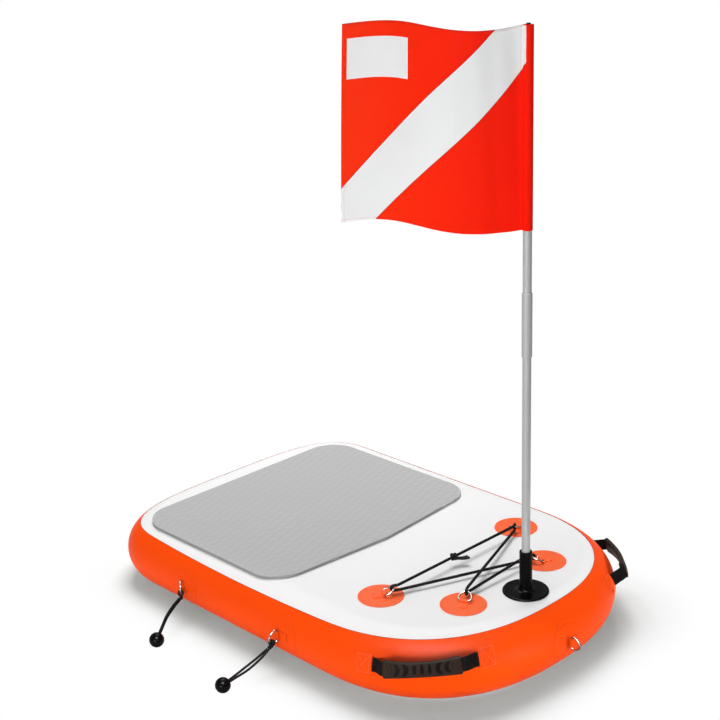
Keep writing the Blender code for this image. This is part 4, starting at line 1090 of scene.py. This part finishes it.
def stitches(name, route, normals, thread, body="board", pitch=0.0030, length=0.0021, rise=0.0003):
    """A row of thread stitches: one small six-pointed lozenge every pitch along the route."""
    gone = run_along(route)
    marks = np.arange(pitch / 2, gone[-1], pitch)
    spot = read_off(route, gone, marks)
    ahead = unit(read_off(route, gone, marks + pitch / 4) - read_off(route, gone, marks - pitch / 4))
    out = unit(read_off(normals, gone, marks))
    half_length, half_width = length / 2, stitch_width / 2
    along, across, high = (np.array(values)[None, :, None] for values in (
        (-half_length, 0, 0, half_length, 0, 0), (0, -half_width, half_width, 0, 0, 0),
        (0, 0, 0, 0, rise, -rise)))
    points = (spot[:, None] + ahead[:, None] * along + np.cross(out, ahead)[:, None] * across
              + out[:, None] * high)
    lozenge = np.array([(0, 1, 4), (1, 3, 4), (3, 2, 4), (2, 0, 4),
                        (1, 0, 5), (3, 1, 5), (2, 3, 5), (0, 2, 5)])
    faces = (lozenge[None] + 6 * np.arange(len(marks))[:, None, None]).reshape(-1, 3)
    return finish_piece(name, shell(name, points, faces), thread, body, 180, None)


for side, side_name in ((-1, "starboard"), (1, "port")):
    size = (len(strap_run), len(strap_across))
    strap = handle_grid(side, strap_run, np.broadcast_to(strap_across, size),
                        np.broadcast_to(strap_high, size))
    surface("handle_webbing_" + side_name, strap, webbing, ends=True, uv=strap_marks,
            node="handle_strap_" + side_name)
    surface("handle_grip_moulding_" + side_name, handle_grid(side, grip_run, grip_across, grip_high),
            grip_rubber, ends=True, uv=grip_marks, node="handle_grip_" + side_name, sharp=50)
    for end, end_name in ((-1, "fore"), (1, "aft")):
        where = end_name + "_" + side_name
        top = on_pad(side, end, pad_x, pad_y, pad_rise(-end * pad_x, pad_y) * rim - 0.0002)[0]
        foot = on_pad(side, end, pad_x, pad_y, anchor_foot)[0]
        surface("handle_anchor_pad_" + where, np.concatenate([top, foot[::-1], top[:1]]), orange_cloth,
                around=False, node="handle_anchor_" + where, sharp=60)
        for index, line in enumerate(anchor_seams):
            corners = np.array(line, float) * anchor_seam_reach + (end * anchor_seam_shift, 0)
            route = np.concatenate([start + (stop - start) * np.linspace(0, 1, 12)[:, None]
                                    for start, stop in zip(corners, corners[1:])])
            along, aside = route.T
            spot, normal, _, _ = on_pad(side, end, along, aside, pad_rise(-end * along, aside))
            stitches(f"handle_stitch_{where}_{index}", spot, normal, pad_thread)


# Mast: a glued-on socket of glossy black rubber, two glass-fibre tubes that meet inside a coupling
# sleeve, and a black plug with a small button in the top.

mast_foot = Matrix.Translation((0, mast_y, board_height))
sleeve_bottom, sleeve_top = 0.4078, 0.5115
flag_bottom, flag_top = 0.6105, 0.9155
pole_radius = 0.0070
pole_bore = 0.0058
pole_foot = 0.0038
pole_middle = (sleeve_bottom + sleeve_top) / 2
coupling_radius = 0.00825
coupling_bore = 0.0073
mast_clearance = 0.0003
hem_room = 0.0010
cap_rim = 0.0012
cap_stem = 0.012
cap_seat = flag_top - hem_room - mast_clearance - cap_rim

socket_rubber = plain_finish("nitrile_rubber_moulded_glossy_black", "#020202", 0.26, grain=500.0,
                             depth=0.00008, strength=0.2, vary=0.01, specular=0.05)
socket_profile = [(0, 0.0035), (0.0075, 0.0035), (0.0075, 0.0719), (0.0079, 0.0726), (0.0086, 0.0729),
                  (0.0098, 0.0729), (0.0104, 0.0725), (0.0106, 0.0717), (0.0106, 0.0700), (0.0105, 0.0690),
                  (0.0105, 0.0090), (0.0108, 0.0074), (0.0116, 0.0056), (0.0132, 0.0042), (0.0156, 0.0034),
                  (0.0190, 0.0031), (0.0330, 0.0030), (0.0336, 0.0031), (0.0341, 0.0032), (0.0370, 0.0031),
                  (0.0379, 0.0027), (0.0384, 0.0019), (0.0385, 0.0003), (0, 0.0003)]
surface("mast_socket_moulding", revolved(socket_profile, 96, mast_foot), socket_rubber,
        node="mast_socket")

# Pultruded glass-fibre tube in pale grey paint with a little metal flake: a broad satin glow on the lit
# side, a darker grey on the other, and faint streaks along its length.
glass_tube, tree, shader = new_finish("glass_fibre_tube_painted_pale_grey")
spot = add_node(tree, "TexCoord", out="Object")
drawn = add_node(tree, "Mapping", {"Vector": spot, "Scale": (1, 1, 0.02)})
streak = add_node(tree, "TexNoise", {"Vector": drawn, "Scale": 900.0, "Detail": 3.0})
tint = add_node(tree, "Mix", {"Factor": streak, "A": paint("#B2B2B2"), "B": paint("#ABABAB")},
                data_type="RGBA")
bump = add_node(tree, "Bump", {"Strength": 0.2, "Distance": 0.0001, "Height": streak})
fill(shader, {"Base Color": tint, "Normal": bump, "Roughness": 0.52, "Metallic": 0.15})


def tube_section(inner, outer, low, high, broken=0.0004):
    """A tube's profile, down the outside and back up the bore, its edges slightly broken."""
    return [(inner, high), (outer - broken, high), (outer, high - broken), (outer, low + broken),
            (outer - broken, low), (inner, low), (inner, high)]


for name, body, profile, node in (
        ("lower_pole_tube", "lower_mast", tube_section(pole_bore, pole_radius, pole_foot, pole_middle),
         "lower_pole"),
        ("coupling_tube", "mast_coupling",
         tube_section(coupling_bore, coupling_radius, sleeve_bottom, sleeve_top, 0.0006), "coupling_sleeve"),
        ("upper_pole_tube", "upper_mast",
         tube_section(pole_bore, pole_radius, pole_middle + mast_clearance, cap_seat - mast_clearance),
         "upper_pole")):
    surface(name, revolved(profile, 72, mast_foot), glass_tube, body, node=node)
cap_profile = np.array([(0, 0.0049), (0.0024, 0.0048), (0.0032, 0.0042), (0.0035, 0.0034), (0.0035, cap_rim),
                        (0.0066, cap_rim), (0.0070, 0.0009), (0.0070, 0), (0.0055, 0), (0.0055, -cap_stem),
                        (0, -cap_stem)]) + (0, cap_seat)
surface("mast_top_plug", revolved(cap_profile, 48, mast_foot), socket_rubber, "upper_mast",
        node="mast_cap")


# Flag: one piece of red nylon with a sewn-in white diagonal and a plain white panel, its hoist folded
# round the pole into a sleeve. It hangs from the sleeve in one long soft wave, and its hems dip and
# rise with the wave by a few millimetres.

flag_hoist = flag_top - flag_bottom
flag_fly = 0.305
flag_thickness = 0.0005
flag_heading = math.radians(116)
wave_phase = math.radians(44)
sleeve_radius = 0.0078
sleeve_wrap = 2 * math.pi * sleeve_radius
sleeve_opening = 0.06
fly_columns = 260
wrap_columns = 48
hoist_rows = 90
hem_inner = 0.0039
hem_outer = sleeve_radius + 0.0003
hem_drop = 0.0008
diagonal_edges = ((0.3498, -0.9720), (0.2430, -0.9755))
diagonal_hoist = -0.0082
panel_fly = (0.1900, 0.2970)
panel_hoist = (0.2211, 0.2821)
seam_width = 0.0014
thread_lift = 0.00030
thread_spacing = 0.0009

share = np.linspace(0, 1, hoist_rows)[:, None]
along = np.linspace(0, 1, fly_columns)[None]
steps = (along[:, 1:] + along[:, :-1]) / 2
swing = np.radians(15 + 13 * share)
heading = flag_heading + swing * np.cos(2 * math.pi * steps - wave_phase)
heading += math.radians(7) * np.exp(-steps * 3.2) * np.sin(2 * math.pi * (7.5 * steps - 0.35 * share))
root = flag_heading + swing * math.cos(wave_phase)
pace = flag_fly / (fly_columns - 1)
round_pole = np.linspace(1, 0, wrap_columns, endpoint=False)[None]
wrap_angle = root + round_pole * (2 * math.pi - sleeve_opening)
spread = []
for part in (np.cos, np.sin):
    out = np.concatenate([0 * share, np.cumsum(part(heading) * pace, axis=1)], axis=1)
    out += sleeve_radius * part(root) * (1 - along) ** 6
    spread.append(np.concatenate([sleeve_radius * part(wrap_angle), out], axis=1))
waves = np.sin(math.pi * np.concatenate([along, 2 * along, 3 * along]))
top_line, low_line = (np.concatenate([0 * round_pole[0], fall * along[0] + np.array(bends) @ waves])
                      for fall, bends in ((-0.0016, (0.0007, -0.0058, -0.0009)),
                                          (-0.0042, (0.0013, -0.0065, 0.0005))))
z = flag_bottom + flag_hoist * share + (top_line * share + low_line * (1 - share))
flag_grid = np.stack([spread[0], spread[1] + mast_y, z + board_height], -1)
fly = np.concatenate([-round_pole * sleeve_wrap, along * flag_fly], axis=1) + 0 * share
flag_uv = np.stack([fly, flag_hoist * share + 0 * fly], -1)

# Nylon oxford cloth: a soft silky sheen over a plain weave that is drawn at 0.9 mm so that it shows.
# The diagonal and the panel are white cloth sewn in, with a thin darker seam along the diagonal.
flag_cloth, tree, shader = new_finish("nylon_oxford_woven_red_and_white")
across_fly, up_hoist = cloth_map(tree)


def within(tree, *ranges):
    """A mask that is one where each value lies between its two limits, and nought elsewhere."""
    mask = 1.0
    for value, low, high in ranges:
        for limit, operation in ((low, "GREATER_THAN"), (high, "LESS_THAN")):
            inside = add_node(tree, "Math", {0: value, 1: limit}, operation=operation)
            mask = add_node(tree, "Math", {0: mask, 1: inside}, operation="MULTIPLY")
    return mask


# How far a point lies over each edge of the diagonal: its height less the line's height at its fly.
over_edges = []
for start, slope in diagonal_edges:
    drop = add_node(tree, "Math", {0: across_fly, 1: -slope, 2: -start}, operation="MULTIPLY_ADD")
    over_edges.append(add_node(tree, "Math", {0: up_hoist, 1: drop}, operation="ADD"))
over_upper, over_lower = over_edges
front = (across_fly, diagonal_hoist, 1.0)
stripe = within(tree, (over_upper, -1.0, 0.0), (over_lower, 0.0, 1.0), front)
panel = within(tree, (across_fly, *panel_fly), (up_hoist, *panel_hoist))
white = add_node(tree, "Math", {0: stripe, 1: panel}, operation="MAXIMUM")
seam = add_node(tree, "Math", {0: within(tree, (over_upper, 0.0, seam_width), front),
                               1: within(tree, (over_lower, -seam_width, 0.0), front)}, operation="MAXIMUM")
thread = plain_weave(tree, across_fly, up_hoist, thread_spacing, thread_spacing)
spot = add_node(tree, "TexCoord", out="Object")
cloud = add_node(tree, "TexNoise", {"Vector": spot, "Scale": 12.0, "Detail": 3.0})
# The red is painted lighter and more orange towards the fly and deeper at the hoist: painted light and shade
# across the flag.
outward = add_node(tree, "MapRange", {"Value": across_fly, "From Min": 0.02, "From Max": flag_fly})
tints = [add_node(tree, "Mix", {"Factor": factor, "A": paint(first), "B": paint(second)}, data_type="RGBA")
         for factor, first, second in ((outward, "#FF1B05", "#FF330F"), (cloud, "#F1F2F2", "#EAEBEB"))]
dyed = add_node(tree, "Mix", {"Factor": white, "A": tints[0], "B": tints[1]}, data_type="RGBA")
sewn = add_node(tree, "Mix", {"Factor": seam, "A": dyed, "B": paint("#B0251A")}, data_type="RGBA")
weave = add_node(tree, "Bump", {"Strength": 0.25, "Distance": 0.0001, "Height": thread})
pucker = add_node(tree, "TexNoise", {"Vector": spot, "Scale": 26.0, "Detail": 2.0})
soft = add_node(tree, "Bump", {"Strength": 0.25, "Distance": 0.003, "Height": pucker, "Normal": weave})
fill(shader, {"Base Color": sewn, "Normal": soft, "Roughness": 0.66, "Specular IOR Level": 0.02})

flag = surface("flag_cloth_sheet", flag_grid, flag_cloth, "flag", around=False, uv=flag_uv,
               node="flag", closed=False, sharp=180)
wall = flag.modifiers.new("cloth_thickness", "SOLIDIFY")
wall.thickness = flag_thickness
wall.offset = 0.0
top_hem = [(hem_inner, flag_top), (hem_outer, flag_top), (hem_outer, flag_top - hem_drop),
           (hem_inner, flag_top - hem_drop), (hem_inner, flag_top)]
hem = surface("flag_sleeve_top", revolved(top_hem, 48, mast_foot), flag_cloth, "flag",
              uv=np.zeros((5, 49, 2)) + (0.1, 0.05))

# Hem and sleeve seams: rows of matching thread on both faces, 3 to 5 mm in from the edges.
flag_thread = plain_finish("polyester_thread_red", "#E01A08", 0.6, grain=2500.0, specular=0.15)
facing = unit(np.cross(np.gradient(flag_grid, axis=1), np.gradient(flag_grid, axis=0)))
first = wrap_columns + 3
last = wrap_columns + fly_columns - 5
seams = {"bottom": (1, slice(first, None)), "top": (-2, slice(first, None)), "fly": (slice(None), last),
         "sleeve": (slice(None), first)}
for name, line in seams.items():
    for way, face_name in ((-1, "near"), (1, "far")):
        outward = facing[line] * way
        stitches(f"flag_seam_{name}_{face_name}", flag_grid[line] + outward * thread_lift,
                                  outward, flag_thread, "flag", 0.0034, 0.0024, 0.0002)


# Inflation valve: a moulded ABS body clamped through the stern rail, a spring-loaded poppet stem in
# its bore, and a quarter-turn cap with a bar to grip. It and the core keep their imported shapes.

barrel_radius = 0.0173
barrel_reach = 0.02

valve_plastic = plain_finish("abs_moulded_charcoal", "#2A2A2C", 0.38, grain=800.0, depth=0.0001, strength=0.3)
core_yarn = plain_finish("polyester_drop_stitch_yarn", "#D9D7CE", 0.8, grain=1400.0, depth=0.0005,
                         strength=0.8)
for node, material in (("valve_body", valve_plastic), ("valve_stem", valve_plastic),
                       ("valve_cap", valve_plastic), ("drop_stitch_core", core_yarn)):
    for held in frame["nodes"][node].material_slots:
        held.material = material

# The band has a round hole for the valve's barrel.
place, normal, _, _ = rail_frame(rail_half_length, math.pi / 2, 0.0, 1)
barrel = revolved([(barrel_radius, -barrel_reach), (barrel_radius, barrel_reach)], 48,
                  placing(place, (1, 0, 0), normal))
drill_mesh = shell("valve_hole", barrel, grid_faces(2, 48, True))
seal(drill_mesh, [range(47, -1, -1), range(48, 96)])
drill = into_studio("valve_hole", drill_mesh)
hole = band.modifiers.new("valve_hole", "BOOLEAN")
hole.operation = "DIFFERENCE"
hole.solver = "EXACT"
hole.object = drill
bpy.context.view_layer.update()
cut = bpy.data.meshes.new_from_object(band.evaluated_get(bpy.context.evaluated_depsgraph_get()))
band.modifiers.remove(hole)
band.data = cut
cut.set_sharp_from_angle(angle=math.radians(60))
bpy.data.objects.remove(drill, do_unlink=True)

# The orange cloth throws no colour on its surroundings: in the studio its shadow stays neutral.
for piece in studio.collection.objects:
    if piece.type == "MESH" and orange_cloth.name in piece.data.materials:
        piece.visible_diffuse = False

sizes = {"packed": packed_box, "dressed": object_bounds()}
({name: [[float(value) for value in corner] for corner in box]
           for name, box in sizes.items()})
